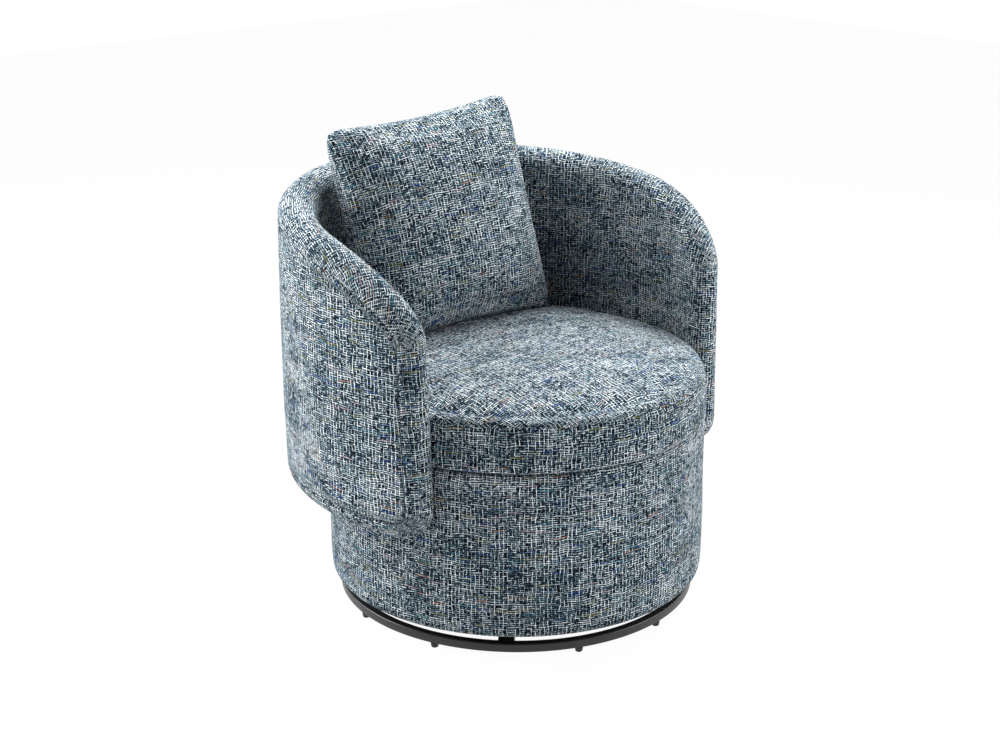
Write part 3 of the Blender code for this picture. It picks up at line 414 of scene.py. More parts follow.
def hard_material(name, dark, light, roughness, metallic, grain, relief, specular=0.5):
    """A surface whose colour, gloss and relief follow one stretched noise."""
    made, tree, shader = new_material(name, roughness, metallic, specular)
    vector = object_point(tree, grain)
    mark = cloud(tree, vector, 1.0, 4.0, 0.6)
    tree.links.new(ramp(tree, mark, [(0.25, dark), (0.75, light)]), shader.inputs["Base Color"])
    gloss = cloud(tree, vector, 3.1, 2.0) * 0.24 + (roughness - 0.12)
    tree.links.new(gloss.socket, shader.inputs["Roughness"])
    bump(tree, shader, mark, relief)
    return made


powder_black = hard_material("powder_black", (0.010, 0.0105, 0.011), (0.022, 0.023, 0.024),
                             0.36, 0.0, (700, 700, 700), 0.00008)
moulded_black = hard_material("moulded_black", (0.010, 0.010, 0.011), (0.020, 0.020, 0.021),
                              0.52, 0.0, (1500, 1500, 1500), 0.00005)
zinc_plate = hard_material("zinc_plate", (0.42, 0.43, 0.45), (0.62, 0.62, 0.60),
                           0.34, 1.0, (90, 90, 90), 0.00003)
spring_wire = hard_material("spring_wire", (0.14, 0.14, 0.15), (0.30, 0.29, 0.28),
                            0.42, 0.9, (300, 60, 300), 0.00003)
ply_face = hard_material("ply_face", (0.42, 0.28, 0.15), (0.68, 0.50, 0.31),
                         0.66, 0.0, (9, 160, 160), 0.00012, 0.3)
pine_wood = hard_material("pine_wood", (0.52, 0.33, 0.17), (0.78, 0.60, 0.38),
                          0.68, 0.0, (130, 130, 7), 0.00015, 0.3)
print("hard finishes", [m.name for m in bpy.data.materials])


# %% Felt and dust cloth
def matted_material(name, dark, light, scale, relief):
    """Matted fibres with no weave: two sizes of noise over each other."""
    made, tree, shader = new_material(name, 0.95, specular=0.15)
    shader.inputs["Sheen Weight"].default_value = 0.2
    vector = object_point(tree, (scale, scale, scale))
    fibres = cloud(tree, vector, 1.0, 5.0, 0.75) * 0.65 + cloud(tree, vector, 0.08, 2.0) * 0.35
    tree.links.new(ramp(tree, fibres, [(0.3, dark), (0.7, light)]), shader.inputs["Base Color"])
    bump(tree, shader, fibres, relief)
    return made


deck_felt = matted_material("deck_felt", (0.34, 0.34, 0.33), (0.62, 0.62, 0.59), 900, 0.0006)
dust_cloth = matted_material("dust_cloth", (0.008, 0.008, 0.009), (0.028, 0.028, 0.030), 1400, 0.0002)

# %% [markdown]
# ## From rows of points to closed skins
#
# Nearly every soft piece here is a grid: so many stations round the chair, so many points on the
# section at each. The helper joins the points, gives each corner of each face its place on the
# cloth in metres, and turns the faces outwards. Keeping the cloth map per face corner lets a
# seam start a new piece of cloth without tearing the surface.


# %% Mesh helpers
def finish_mesh(name, points, faces, corner_map, material):
    """One object from points, faces and the place on the cloth of every face corner."""
    mesh = bpy.data.meshes.new(name)
    mesh.from_pydata([tuple(p) for p in points], [], faces)
    piece = bpy.data.objects.new(name, mesh)
    scene.collection.objects.link(piece)
    if corner_map is not None:
        layer = mesh.uv_layers.new(name="weave")
        layer.data.foreach_set("uv", np.asarray(corner_map, np.float32).ravel())
    form = bmesh.new()
    form.from_mesh(mesh)
    bmesh.ops.recalc_face_normals(form, faces=form.faces)
    form.to_mesh(mesh)
    form.free()
    mesh.shade_smooth()
    mesh.materials.append(material)
    return piece


def ring_faces(count, size):
    """Quads between rings of size points that follow one another."""
    return [(a * size + b, a * size + (b + 1) % size, (a + 1) * size + (b + 1) % size, (a + 1) * size + b)
            for a in range(count - 1) for b in range(size)]


def skin(name, grid, material, cloth=None):
    """A skin that closes on itself both ways; its cloth is one row and one column longer."""
    rows, columns = grid.shape[:2]
    i, j = (k.ravel() for k in np.meshgrid(np.arange(rows), np.arange(columns), indexing="ij"))
    row, column = np.stack([i, i, i + 1, i + 1], 1), np.stack([j, j + 1, j + 1, j], 1)
    faces = ((row % rows) * columns + column % columns).tolist()
    corner_map = None if cloth is None else cloth[row, column].reshape(-1, 2)
    return finish_mesh(name, grid.reshape(-1, 3), faces, corner_map, material)


def capped_rings(name, rings, material):
    """A closed piece from rings of points, with one face across each end ring."""
    count, size = rings.shape[:2]
    ends = [tuple(range(size)), tuple(range((count - 1) * size, count * size))]
    return finish_mesh(name, rings.reshape(-1, 3), ring_faces(count, size) + ends, None, material)


def full_turn(stations):
    """Evenly spaced angles, once round."""
    return 2 * math.pi * np.arange(stations) / stations


def ripple(x, y, size, seed):
    """Smooth, repeatable unevenness between -1 and 1, made of a few crossing waves."""
    dice_box = np.random.default_rng(seed)
    total = np.zeros(np.broadcast(x, y).shape)
    for _ in range(7):
        angle, phase = dice_box.uniform(0, 2 * math.pi, 2)
        pitch = size * dice_box.uniform(0.7, 1.6)
        total = total + np.sin(2 * math.pi * (x * math.cos(angle) + y * math.sin(angle)) / pitch + phase)
    return total / 7


def tell(piece, *more):
    """Print a piece's name and its count of triangles."""
    print(piece.name, sum(len(p.vertices) - 2 for p in piece.data.polygons), "triangles", *more)


def smoothstep(value, low, high):
    t = np.clip((value - low) / (high - low), 0, 1)
    return t * t * (3 - 2 * t)


print("mesh helpers ready")

# %% [markdown]
# ## The drum's cover
#
# The drum is one strip of tweed over thin padding, rolled under the board at the bottom and over
# the plywood wall at the top, with one seam at the rear. A plain cylinder would look like a tin:
# the real cover is a little fuller between the floor and the shell, its lower edge is a soft
# roll, and its surface is never quite even.

# %% Drum cover
DRUM_STATIONS = 288
DRUM_PADDING = 0.006
HEM, HEM_GAP = 0.0028, 0.0003
BOTTOM_INNER, TOP_INNER = 0.290, 0.303      # how far in the cover is rolled under and over
DRUM_FULL, DRUM_UNEVEN = 0.0016, 0.0005
DRUM_SEAM_WIDTH, DRUM_SEAM_DEPTH = 0.0022, 0.0016


def arc_points(centre, radius, start, end, steps):
    angles = np.radians(np.linspace(start, end, steps + 1))
    return np.stack([centre[0] + radius * np.cos(angles), centre[1] + radius * np.sin(angles)], -1)


def drum_profile():
    """The closed section of the cover, as (radius, height)."""
    low_edge, top_edge = 0.015, 0.008
    outer, inner = DRUM_RADIUS, DRUM_RADIUS - DRUM_PADDING
    wall = np.linspace(DRUM_BOTTOM + low_edge, DRUM_TOP - top_edge, 46)[1:-1]
    parts = [[(BOTTOM_INNER, DRUM_BOTTOM), (BOTTOM_INNER + 0.008, DRUM_BOTTOM)],
             arc_points((outer - low_edge, DRUM_BOTTOM + low_edge), low_edge, -90, 0, 8),
             [(outer, z) for z in wall],
             arc_points((outer - top_edge, DRUM_TOP - top_edge), top_edge, 0, 90, 6),
             [(TOP_INNER, DRUM_TOP), (TOP_INNER, DRUM_TOP - HEM), (inner, DRUM_TOP - HEM - HEM_GAP),
              (inner, DRUM_BOTTOM + HEM + HEM_GAP), (BOTTOM_INNER, DRUM_BOTTOM + HEM)]]
    return np.concatenate([np.asarray(part, float) for part in parts])


def drum_cover():
    section = drum_profile()
    angle, radius = np.meshgrid(full_turn(DRUM_STATIONS), section[:, 0], indexing="ij")
    z = np.broadcast_to(section[:, 1], radius.shape).copy()
    outside = radius > DRUM_RADIUS - DRUM_PADDING + 0.001
    open_height = smoothstep(z, DRUM_BOTTOM + 0.004, 0.080) * (1 - smoothstep(z, 0.150, 0.206))
    around = angle * DRUM_RADIUS
    full = DRUM_FULL * open_height + DRUM_UNEVEN * open_height * ripple(around, z, 0.16, 5)
    turned = np.minimum(angle, 2 * math.pi - angle) * DRUM_RADIUS
    full = full - DRUM_SEAM_DEPTH * np.exp(-(turned / DRUM_SEAM_WIDTH) ** 2)
    radius = radius + np.where(outside, full, 0)
    grid = polar(radius, angle, z)
    length = np.concatenate([[0], np.cumsum(np.hypot(*np.diff(section, axis=0).T)), [0]])
    length[-1] = length[-2] + 0.003
    run = np.linspace(0, 2 * math.pi * DRUM_RADIUS, DRUM_STATIONS + 1)
    cloth = np.stack(np.meshgrid(run, length, indexing="ij"), -1)
    return skin("drum_cover_tweed", grid, tweed, cloth)


drum_piece = drum_cover()
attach(drum_piece, "seat")
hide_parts("drum_cover")
tell(drum_piece)

# %% [markdown]
# ## The wrap-around back and arms
#
# The shell is easiest to draw flat: a long strip whose upper edge falls towards the arms, with
# rounded corners at their ends, which is then rolled round the drum. The cloth on the inside
# rolls over every edge, so the section at any place of the rim is a half round that ends at a
# seam on the outer side. Each ring below is the outline moved inwards by some amount and lifted
# by another, and the cloth keeps its length over the roll, so the weave runs on across the rim.

# %% The developed outline of the shell
CORNER_STEPS, MIDDLE_STEPS, FRONT_ROWS = 22, 132, 44


def shell_radius(angle, offset):
    """Radius of a layer of the shell, offset outwards from its middle."""
    padded_share = np.clip((offset + HALF_THICK) / (PLY_FLOOR + HALF_THICK), None, 1.0)
    thinning = ARM_THINNING * padded_share * (angle / SHELL_HALF_ANGLE) ** 2
    return SHELL_INNER + rear_reach(angle) + HALF_THICK + offset - thinning


def shell_outline():
    """Lower and upper edge of the flat shell as (run, height), and the points of both ends."""
    corner = ARM_CORNER_LENGTH * (1 - np.cos(np.radians(np.linspace(0, 90, CORNER_STEPS + 1))))
    left = -SHELL_HALF_LENGTH + corner
    middle = np.linspace(left[-1], -left[-1], MIDDLE_STEPS + 1)[1:-1]
    run = np.concatenate([left, middle, -left[::-1]])
    from_front = SHELL_HALF_LENGTH - abs(run)
    part = np.clip(1 - from_front / BOTTOM_CORNER, 0, 1)
    low = SHELL_BOTTOM + BOTTOM_CORNER * (1 - np.sqrt(1 - part ** 2))
    part = np.clip(1 - from_front / ARM_CORNER_LENGTH, 0, 1)
    high = RIM_HEIGHT - RIM_FALL * abs(run / SHELL_HALF_LENGTH) ** RIM_FALL_POWER
    high = high - ARM_CORNER_HEIGHT * (1 - np.sqrt(1 - part ** 2))
    fade = np.clip(1 - from_front / SLANT_FADE, 0, None) ** 1.5 * FRONT_SLANT * np.sign(run)
    lower = np.stack([run + fade * (SLANT_PIVOT - low), low], -1)
    upper = np.stack([run + fade * (SLANT_PIVOT - high), high], -1)
    return lower, upper


def inset_loop(loop, inset):
    """Move a closed loop inwards by inset."""
    ahead = np.roll(loop, -1, 0) - loop
    ahead /= np.linalg.norm(ahead, axis=1, keepdims=True)
    normal = np.stack([-ahead[:, 1], ahead[:, 0]], -1)
    before = np.roll(normal, 1, 0)
    share = inset / (1 + (normal * before).sum(1))
    return loop + share[:, None] * (normal + before)


def steps_between(start, end, count):
    return start + (end - start) * (np.arange(1, count) / count)[:, None]


outline_low, outline_high = shell_outline()
COLUMNS = len(outline_low)
shell_loop = np.concatenate([outline_low, steps_between(outline_low[-1], outline_high[-1], FRONT_ROWS),
                             outline_high[::-1], steps_between(outline_high[0], outline_low[0], FRONT_ROWS)])
print("outline points", len(shell_loop), "| columns", COLUMNS)


# %% Rolling the flat shell round the drum
def bend(flat, offset):
    """World points of the flat shell's points, offset outwards from its middle surface."""
    angle = flat[:, 0] / SHELL_HALF_LENGTH * SHELL_HALF_ANGLE
    return polar(shell_radius(angle, offset), angle, flat[:, 1])


def shell_solid(name, rings, material, relief):
    """A bent skin from rings of (inset, offset, cloth length), both ends closed by a divided face.

    relief(flat, ring number) gives how far each point stands out from the plain form.
    """
    size = len(shell_loop)
    base = inset_loop(shell_loop, EDGE_ROUND)
    outward = shell_loop - base
    outward /= np.linalg.norm(outward, axis=1, keepdims=True)
    flats, clothes, points = [], [], []
    for number, (inset, offset, length) in enumerate(rings):
        flat = inset_loop(shell_loop, inset)
        flats.append(flat)
        clothes.append(base + outward * length)
        points.append(bend(flat, offset + relief(flat, number)))
    cloth = list(np.concatenate(clothes))
    points = list(np.concatenate(points))
    faces = ring_faces(len(rings), size)
    for number in (0, len(rings) - 1):
        start, flat = number * size, flats[number]
        table = []
        for j in range(COLUMNS):
            above = COLUMNS + FRONT_ROWS - 1 + COLUMNS - 1 - j
            if j == 0:
                line = [size - row for row in range(1, FRONT_ROWS)]
            elif j == COLUMNS - 1:
                line = [COLUMNS + row - 1 for row in range(1, FRONT_ROWS)]
            else:
                fill = steps_between(flat[j], flat[above], FRONT_ROWS)
                line = list(range(len(points) - start, len(points) - start + len(fill)))
                points += list(bend(fill, rings[number][1] + relief(fill, number)))
                cloth += list(fill)
            table.append([start + k for k in [j] + line + [above]])
        for a, b in zip(table, table[1:]):
            faces += [(a[r], b[r], b[r + 1], a[r + 1]) for r in range(FRONT_ROWS)]
    return finish_mesh(name, points, faces, np.asarray(cloth)[np.ravel(faces)], material)


def edge_distance(flat):
    """How far each flat point lies inside the shell's outline, roughly."""
    run = abs(flat[:, 0])
    low = flat[:, 1] - SHELL_BOTTOM
    top = np.interp(run, outline_high[COLUMNS // 2:, 0], outline_high[COLUMNS // 2:, 1]) - flat[:, 1]
    side = SHELL_HALF_LENGTH - run
    return np.minimum(np.minimum(low, top), side)


print("bend ready")

# %% [markdown]
# ## Padding on the inside, a roll over the rim, a seam outside
#
# Upholstery foam is cut flat and pulled tight, so it stands proud in the middle of a span and
# thins towards the seams. Round the tight lower corner of each arm the cloth has too far to go
# and gathers in short puckers. Both are small moves of the surface, a millimetre or two, and they
# are what the light catches.

# %% Back and arm upholstery
EDGE_STEPS = 18
SEAM_DIP = 0.0034
INSIDE_PROUD, INSIDE_UNEVEN, EDGE_UNEVEN = 0.0028, 0.0006, 0.0008
PUCKER_HEIGHT, PUCKER_REACH, PUCKER_TURNS = 0.0011, 0.030, 26


def edge_rings():
    rings = []
    for k in range(EDGE_STEPS + 1):
        turn = math.radians(-90 + 180 * k / EDGE_STEPS)
        rings.append((EDGE_ROUND * (1 - math.cos(turn)), HALF_THICK * math.sin(turn),
                      EDGE_ROUND * (turn + math.pi / 2)))
    last = rings[-1][2]
    rings[-1] = (EDGE_ROUND - 0.0006, HALF_THICK - 0.0006, last)
    rings += [(POCKET_INSET - 0.0004, HALF_THICK - SEAM_DIP, last + 0.003),
              (POCKET_INSET, HALF_THICK - 2 * SEAM_DIP, last + 0.006),
              (POCKET_INSET, PLY_FLOOR, last + 0.020)]
    return rings


def corner_puckers(flat, number):
    """Short gathers where the cloth turns the lower corner of each arm."""
    from_front = SHELL_HALF_LENGTH - abs(flat[:, 0])
    from_corner = (from_front - 0.020) ** 2 + (flat[:, 1] - SHELL_BOTTOM - 0.022) ** 2
    near = np.exp(-from_corner / PUCKER_REACH ** 2)
    turn = np.arctan2(flat[:, 1] - SHELL_BOTTOM - BOTTOM_CORNER, from_front - BOTTOM_CORNER)
    ring_share = math.sin(math.pi * min(1.0, number / EDGE_STEPS)) ** 0.7
    return PUCKER_HEIGHT * near * ring_share * np.sin(turn * PUCKER_TURNS + np.sign(flat[:, 0]) * 0.7)


def wrap_relief(flat, number):
    """How far the padding stands out from the plain form, towards the outside of the shell."""
    if number > EDGE_STEPS:
        return 0.0
    soft = ripple(flat[:, 0], flat[:, 1] + number * 0.004, 0.11, 12)
    if number == 0:
        inside = smoothstep(edge_distance(flat), 0.030, 0.120) * smoothstep(flat[:, 1], 0.430, 0.500)
        return -(INSIDE_PROUD * inside + INSIDE_UNEVEN * soft * inside)
    share = math.sin(math.pi * number / EDGE_STEPS)
    side = math.sin(math.radians(-90 + 180 * number / EDGE_STEPS))
    return EDGE_UNEVEN * soft * share * side + corner_puckers(flat, number)


wrap_piece = shell_solid("back_arm_tweed", edge_rings(), tweed, wrap_relief)
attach(wrap_piece, "seat")
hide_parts("arm_back_upholstery")
tell(wrap_piece)

# %% [markdown]
# ## The outer panel
#
# The outside of the shell is one flat panel, sewn on by hand inside the rolled edge once the
# frame is closed. Its own edge is folded under, so it rises out of the seam in a small round and
# then lies taut, with only a hint of fullness.

# %% Outer panel
PANEL_INSET = POCKET_INSET + 0.0005
PANEL_ROUND = 0.0045
PANEL_PROUD, PANEL_UNEVEN = 0.0018, 0.0006


def panel_rings():
    rings = [(PANEL_INSET, PANEL_FLOOR, 0.0), (PANEL_INSET, HALF_THICK - PANEL_ROUND, 0.004)]
    for k in range(1, 6):
        turn = math.radians(90 * k / 5)
        rings.append((PANEL_INSET + PANEL_ROUND * (1 - math.cos(turn)),
                      HALF_THICK - PANEL_ROUND * (1 - math.sin(turn)), 0.004 + 0.0014 * k))
    return rings


PANEL_RINGS = panel_rings()


def panel_relief(flat, number):
    if number < len(PANEL_RINGS) - 1:
        return 0.0
    inside = smoothstep(edge_distance(flat), POCKET_INSET, 0.150)
    soft = ripple(flat[:, 0], flat[:, 1], 0.19, 31)
    return PANEL_PROUD * inside + PANEL_UNEVEN * inside * soft


panel_piece = shell_solid("outer_panel_tweed", PANEL_RINGS, tweed, panel_relief)
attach(panel_piece, "seat")
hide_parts("outer_back_panel")
tell(panel_piece)

# %% [markdown]
# ## Blowing up a cushion
#
# A cushion gets its form from pressure: the foam or filling pushes outwards and the cloth holds
# it in. Blender's Cloth does exactly that, so a plain closed shape is given an even mesh, a few
# frames of pressure without gravity, and a limit on how far a point may move. The seams are put
# in afterwards, because the even mesh would blur them. Each simulation starts from the same shape
# and takes the same steps, so it ends the same on every run.

# %% Cloth under pressure
PRESSURE, FRAMES = 4.0, 20
STIFFNESS, BENDING = 15.0, 0.5


def even_mesh(piece, voxel):
    """Replace the mesh by one of even faces."""
    remesh = piece.modifiers.new("even", "REMESH")
    remesh.mode = "VOXEL"
    remesh.voxel_size = voxel
    settle(piece)


def settle(piece):
    """Apply everything on the piece's modifier stack."""
    graph = bpy.context.evaluated_depsgraph_get()
    settled = bpy.data.meshes.new_from_object(piece.evaluated_get(graph))
    piece.modifiers.clear()
    old = piece.data
    piece.data = settled
    bpy.data.meshes.remove(old)


def read(items, key, width=1, kind=float):
    """One property of a mesh's vertices, loops or faces, as an array."""
    values = np.empty(len(items) * width, kind)
    items.foreach_get(key, values)
    return values.reshape(-1, width) if width > 1 else values


def positions(piece):
    return read(piece.data.vertices, "co", 3)


def set_positions(piece, points):
    piece.data.vertices.foreach_set("co", np.asarray(points, np.float32).ravel())
    piece.data.update()


def blow_up(piece, limit):
    """Inflate a closed mesh: no point ends up inside where it began, or further out than limit."""
    start = positions(piece)
    outwards = read(piece.data.vertices, "normal", 3)
    cloth = piece.modifiers.new("Cloth", "CLOTH")
    rules = cloth.settings
    rules.quality = 5
    rules.use_pressure, rules.uniform_pressure_force = True, PRESSURE
    rules.effector_weights.gravity = 0
    rules.tension_stiffness = rules.compression_stiffness = STIFFNESS
    rules.bending_stiffness = BENDING
    cloth.collision_settings.use_collision = False
    cloth.point_cache.frame_start, cloth.point_cache.frame_end = 1, FRAMES
    for number in range(1, FRAMES + 1):
        scene.frame_set(number)
    settle(piece)
    scene.frame_set(1)
    moved = positions(piece) - start
    sunk = np.minimum((moved * outwards).sum(1, keepdims=True), 0)
    moved = moved - sunk * outwards
    far = np.linalg.norm(moved, axis=1, keepdims=True)
    set_positions(piece, start + moved * np.minimum(1, limit / np.maximum(far, 1e-9)))
    return far.max()


def subdivide(piece):
    step = piece.modifiers.new("fine", "SUBSURF")
    step.levels = step.render_levels = 1
    settle(piece)
    piece.data.shade_smooth()


def lay_cloth(piece, place_of):
    """Give each face corner its place on the cloth: place_of(corners, face centres, normals)."""
    mesh = piece.data
    totals = read(mesh.polygons, "loop_total", kind=int)
    face_of_loop = np.repeat(np.arange(len(totals)), totals)
    corners = positions(piece)[read(mesh.loops, "vertex_index", kind=int)]
    centres, normals = (read(mesh.polygons, key, 3)[face_of_loop] for key in ("center", "normal"))
    layer = mesh.uv_layers.get("weave") or mesh.uv_layers.new(name="weave")
    layer.data.foreach_set("uv", place_of(corners, centres, normals).astype(np.float32).ravel())


print("cloth helpers ready")

# %% [markdown]
# ## The seat cushion
#
# A round foam block in a boxed cover: a flat strip round the side, a disc on top, and a plain
# seam where they meet. Foam makes the top crown softly, the seam draws the edge in, and small
# gathers run from it where the round disc was eased to the strip. At the rear it follows the
# shell, and between the arms its nose is free, so it is full there and tight elsewhere.

# %% Seat cushion
CUSHION_BOTTOM = DRUM_TOP + 0.0003
CUSHION_TOP = CUSHION_SEAM + 0.038
CUSHION_SHRINK = 0.0025
CUSHION_EDGE = 0.018
NOSE_HALF_ANGLE = math.radians(56)
CUSHION_STATIONS = 160
CUSHION_VOXEL, CUSHION_SWELL = 0.0065, 0.009
SEAM_WIDTH, SEAM_DEPTH, SEAM_SNAP = 0.0048, 0.0022, 0.0024
GATHER_PITCH, GATHER_HEIGHT, DENT_DEPTH, SIDE_UNEVEN = 0.0085, 0.0008, 0.0015, 0.0006
LOWER_EDGE, TOP_SLOPE = 0.012, 0.014


def cushion_reach(angle):
    """The furthest that the cushion's side may stand from the axis: up to the shell at the rear."""
    angle = (angle + math.pi) % (2 * math.pi) - math.pi
    nose = np.cos(math.pi / 2 * np.clip((math.pi - abs(angle)) / NOSE_HALF_ANGLE, 0, 1))
    return CUSHION_RADIUS + 0.9 * rear_reach(angle) + 0.0042 * nose - 0.0004


def cushion_block():
    """The foam block, a little smaller than the finished cushion."""
    section = [(0.35, CUSHION_BOTTOM)]
    section += [(1 - CUSHION_EDGE / DRUM_RADIUS * (1 - math.sin(t)),
                 CUSHION_BOTTOM + CUSHION_EDGE * (1 - math.cos(t)))
                for t in np.radians(range(0, 91, 15))]
    section += [(1.0, z) for z in np.linspace(0.345, CUSHION_SEAM - 0.006, 5)]
    section += [(0.992, CUSHION_SEAM + 0.001)]
    crown = CUSHION_SEAM + 0.006
    section += [(share, crown + (CUSHION_TOP - 0.002 - crown) * (1 - share ** 2.5))
                for share in (0.975, 0.95, 0.91, 0.86, 0.79, 0.7, 0.6, 0.48, 0.35, 0.2, 0.08)]
    section = np.asarray(section)
    angle, share = np.meshgrid(full_turn(CUSHION_STATIONS), section[:, 0])
    z = np.broadcast_to(section[:, 1:2], share.shape)
    rings = polar((cushion_reach(angle) - CUSHION_SHRINK) * share, angle, z)
    return capped_rings("seat_cushion_tweed", rings, tweed)


cushion_piece = cushion_block()
even_mesh(cushion_piece, CUSHION_VOXEL)
print("cushion swelled by", round(float(blow_up(cushion_piece, CUSHION_SWELL)) * 1000, 1), "mm")
subdivide(cushion_piece)
tell(cushion_piece)

# %% [markdown]
# The seam comes next. Points near its height are drawn towards the foam in a narrow valley, the
# gathers fan out from it over the next two centimetres, and the whole cushion is kept off the
# shell and the deck below. Then the cloth is laid: the top's weave runs straight across it from
# front to rear, and the side strip's weave runs round it.


# %% Seam, gathers and fit of the cushion
def sew_cushion(piece):
    points = positions(piece)
    x, y, z = points[:, 0], points[:, 1] - AXIS_Y, points[:, 2]
    radius, angle = np.hypot(x, y), np.arctan2(x, y)
    around = angle * CUSHION_RADIUS
    reach = cushion_reach(angle)
    outer = smoothstep(radius / reach, 0.90, 0.97)
    valley = np.exp(-((z - CUSHION_SEAM) / SEAM_WIDTH) ** 2) * outer
    above = smoothstep(z, CUSHION_SEAM - 0.001, CUSHION_SEAM + 0.004)
    above = above * smoothstep(radius / reach, 0.84, 0.985)
    gather = np.sin(around / GATHER_PITCH + 2.2 * ripple(around, 0 * around, 0.09, 7))
    gather = gather * (0.5 + ripple(around, z, 0.08, 8))
    dents = ripple(x, y, 0.19, 17) * smoothstep(z, CUSHION_SEAM + 0.010, CUSHION_SEAM + 0.028)
    radius = radius - SEAM_DEPTH * valley
    side = smoothstep(z, CUSHION_BOTTOM + 0.012, CUSHION_BOTTOM + 0.030) * (1 - above) * outer
    radius = radius + SIDE_UNEVEN * side * ripple(around, z, 0.07, 21)
    z = z + GATHER_HEIGHT * above * gather + DENT_DEPTH * dents
    on_seam = (abs(z - CUSHION_SEAM) < SEAM_SNAP) & (outer > 0.5)
    z = np.where(on_seam, CUSHION_SEAM, z)
    rise = np.clip((z - CUSHION_BOTTOM) / LOWER_EDGE, 0, 1)
    low_edge = reach - LOWER_EDGE * (1 - np.sqrt(1 - (1 - rise) ** 2))
    low = (rise > 0.02) & (z < CUSHION_SEAM - 0.03) & (radius > reach - 0.035)
    radius = np.where(low, np.maximum(radius, low_edge), radius)
    radius = np.minimum(radius, reach)
    z = np.clip(z, CUSHION_BOTTOM + 0.0002, CUSHION_TOP + 0.003)
    points[:, 0], points[:, 1], points[:, 2] = radius * np.sin(angle), radius * np.cos(angle) + AXIS_Y, z
    set_positions(piece, points)


def cushion_cloth(corners, centres, normals):
    """Top and underside run from front to rear, and over the edge's slope; the strip runs round."""
    x, y = corners[:, 0], corners[:, 1] - AXIS_Y
    underside = normals[:, 2] < -0.8
    on_top = (centres[:, 2] > CUSHION_SEAM + 0.001) | underside
    centre_angle = np.arctan2(centres[:, 0], centres[:, 1] - AXIS_Y)
    angle = np.arctan2(x, y)
    angle = centre_angle + (angle - centre_angle + math.pi) % (2 * math.pi) - math.pi
    strip = np.stack([angle * CUSHION_RADIUS + 3.0, corners[:, 2]], -1)
    slope = np.clip(CUSHION_SEAM + TOP_SLOPE - corners[:, 2], 0, TOP_SLOPE) * ~underside
    flat = np.stack([x, y], -1) * (1 + slope / np.maximum(np.hypot(x, y), 0.1))[:, None]
    return np.where(on_top[:, None], flat, strip)


sew_cushion(cushion_piece)
lay_cloth(cushion_piece, cushion_cloth)
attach(cushion_piece, "cushion")
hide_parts("seat_cushion")
low, high = positions(cushion_piece).min(0), positions(cushion_piece).max(0)
print("cushion from", low.round(3), "to", high.round(3))

# %% [markdown]
# ## The throw pillow
#
# Two square panels sewn round the edge and stuffed. The envelope starts at its stuffed form:
# thick in the middle, thin at the rim, and a little rounded at the corners. Pressure from
# inside then swells the cloth by up to 7 mm, which gives it small wrinkles. The pillow stands
# on the cushion and leans towards the back, and the points that would press into the seat or
# the back are laid against them instead.

# %% Throw pillow
PILLOW_WIDTH, PILLOW_HEIGHT, PILLOW_THICK = 0.421, 0.400, 0.150
PILLOW_LEAN = math.radians(18)
PILLOW_FOOT = (0.006, 0.1445, 0.4111)
PILLOW_CELLS, PILLOW_SWELL = 76, 0.007
RIM_POWER, FULLNESS = 2.4, 0.45     # a higher power is flatter in the middle and steeper at the rim
SIDE_DRAW, TOP_DRAW, FOOT_DRAW = 0.095, 0.062, 0.105
PILLOW_TILT, PILLOW_TAPER, CORNER_POWER = 0.010, 0.020, 15
SEAT_GAP, BACK_GAP = 0.0005, 0.0006


def pillow_envelope():
    """Two panels joined at their rim, and each corner's place on the cloth."""
    cells = PILLOW_CELLS
    line = np.linspace(-1, 1, cells + 1)
    u, v = np.meshgrid(line, line, indexing="ij")
    power = (abs(u) ** CORNER_POWER + abs(v) ** CORNER_POWER) ** (1 / CORNER_POWER)
    soft = np.maximum(abs(u), abs(v)) / np.maximum(power, 1e-9)
    form = np.clip((1 - abs(u) ** RIM_POWER) * (1 - abs(v) ** RIM_POWER), 0, None)
    full = form ** FULLNESS * PILLOW_THICK / 2
    height = (v + 1) / 2
    draw = np.where(v > 0, TOP_DRAW, FOOT_DRAW)
    x = u * PILLOW_WIDTH / 2 * soft * (1 - SIDE_DRAW * (1 - v * v) * u * u) * (1 - PILLOW_TAPER * height)
    z = v * PILLOW_HEIGHT / 2 * soft * (1 - draw * (1 - u * u) * v * v) + PILLOW_TILT * u * height

    def way_along(place, axis):
        """Metres along the cloth from the middle of each row of corners."""
        steps = np.hypot(np.diff(place, axis=axis), np.diff(full, axis=axis))
        way = np.insert(np.cumsum(steps, axis=axis), 0, 0.0, axis=axis)
        return way - np.take(way, [cells // 2], axis=axis)

    flat = np.stack([way_along(x, 0), way_along(z, 1)], -1)
    index = np.arange((cells + 1) ** 2).reshape(cells + 1, cells + 1)
    front = np.stack([x, -full, z], -1).reshape(-1, 3)
    rear_index = index.copy()
    inner = np.zeros_like(index, bool)
    inner[1:-1, 1:-1] = True
    rear_index[inner] = len(front) + np.arange(inner.sum())
    points = np.concatenate([front, np.stack([x, full, z], -1)[inner]])
    faces, cloth = [], []
    for table, shift in ((index, 0), (rear_index, 1)):
        for i, j in np.ndindex(cells, cells):
            ring = [(i, j), (i + 1, j), (i + 1, j + 1), (i, j + 1)][::1 - 2 * shift]
            faces.append(tuple(int(table[p]) for p in ring))
            cloth += [flat[p] + shift for p in ring]
    return finish_mesh("throw_pillow_tweed", points, faces, np.asarray(cloth), tweed)


pillow_piece = pillow_envelope()
print("pillow swelled by", round(float(blow_up(pillow_piece, PILLOW_SWELL)) * 1000, 1), "mm")
subdivide(pillow_piece)
tell(pillow_piece)


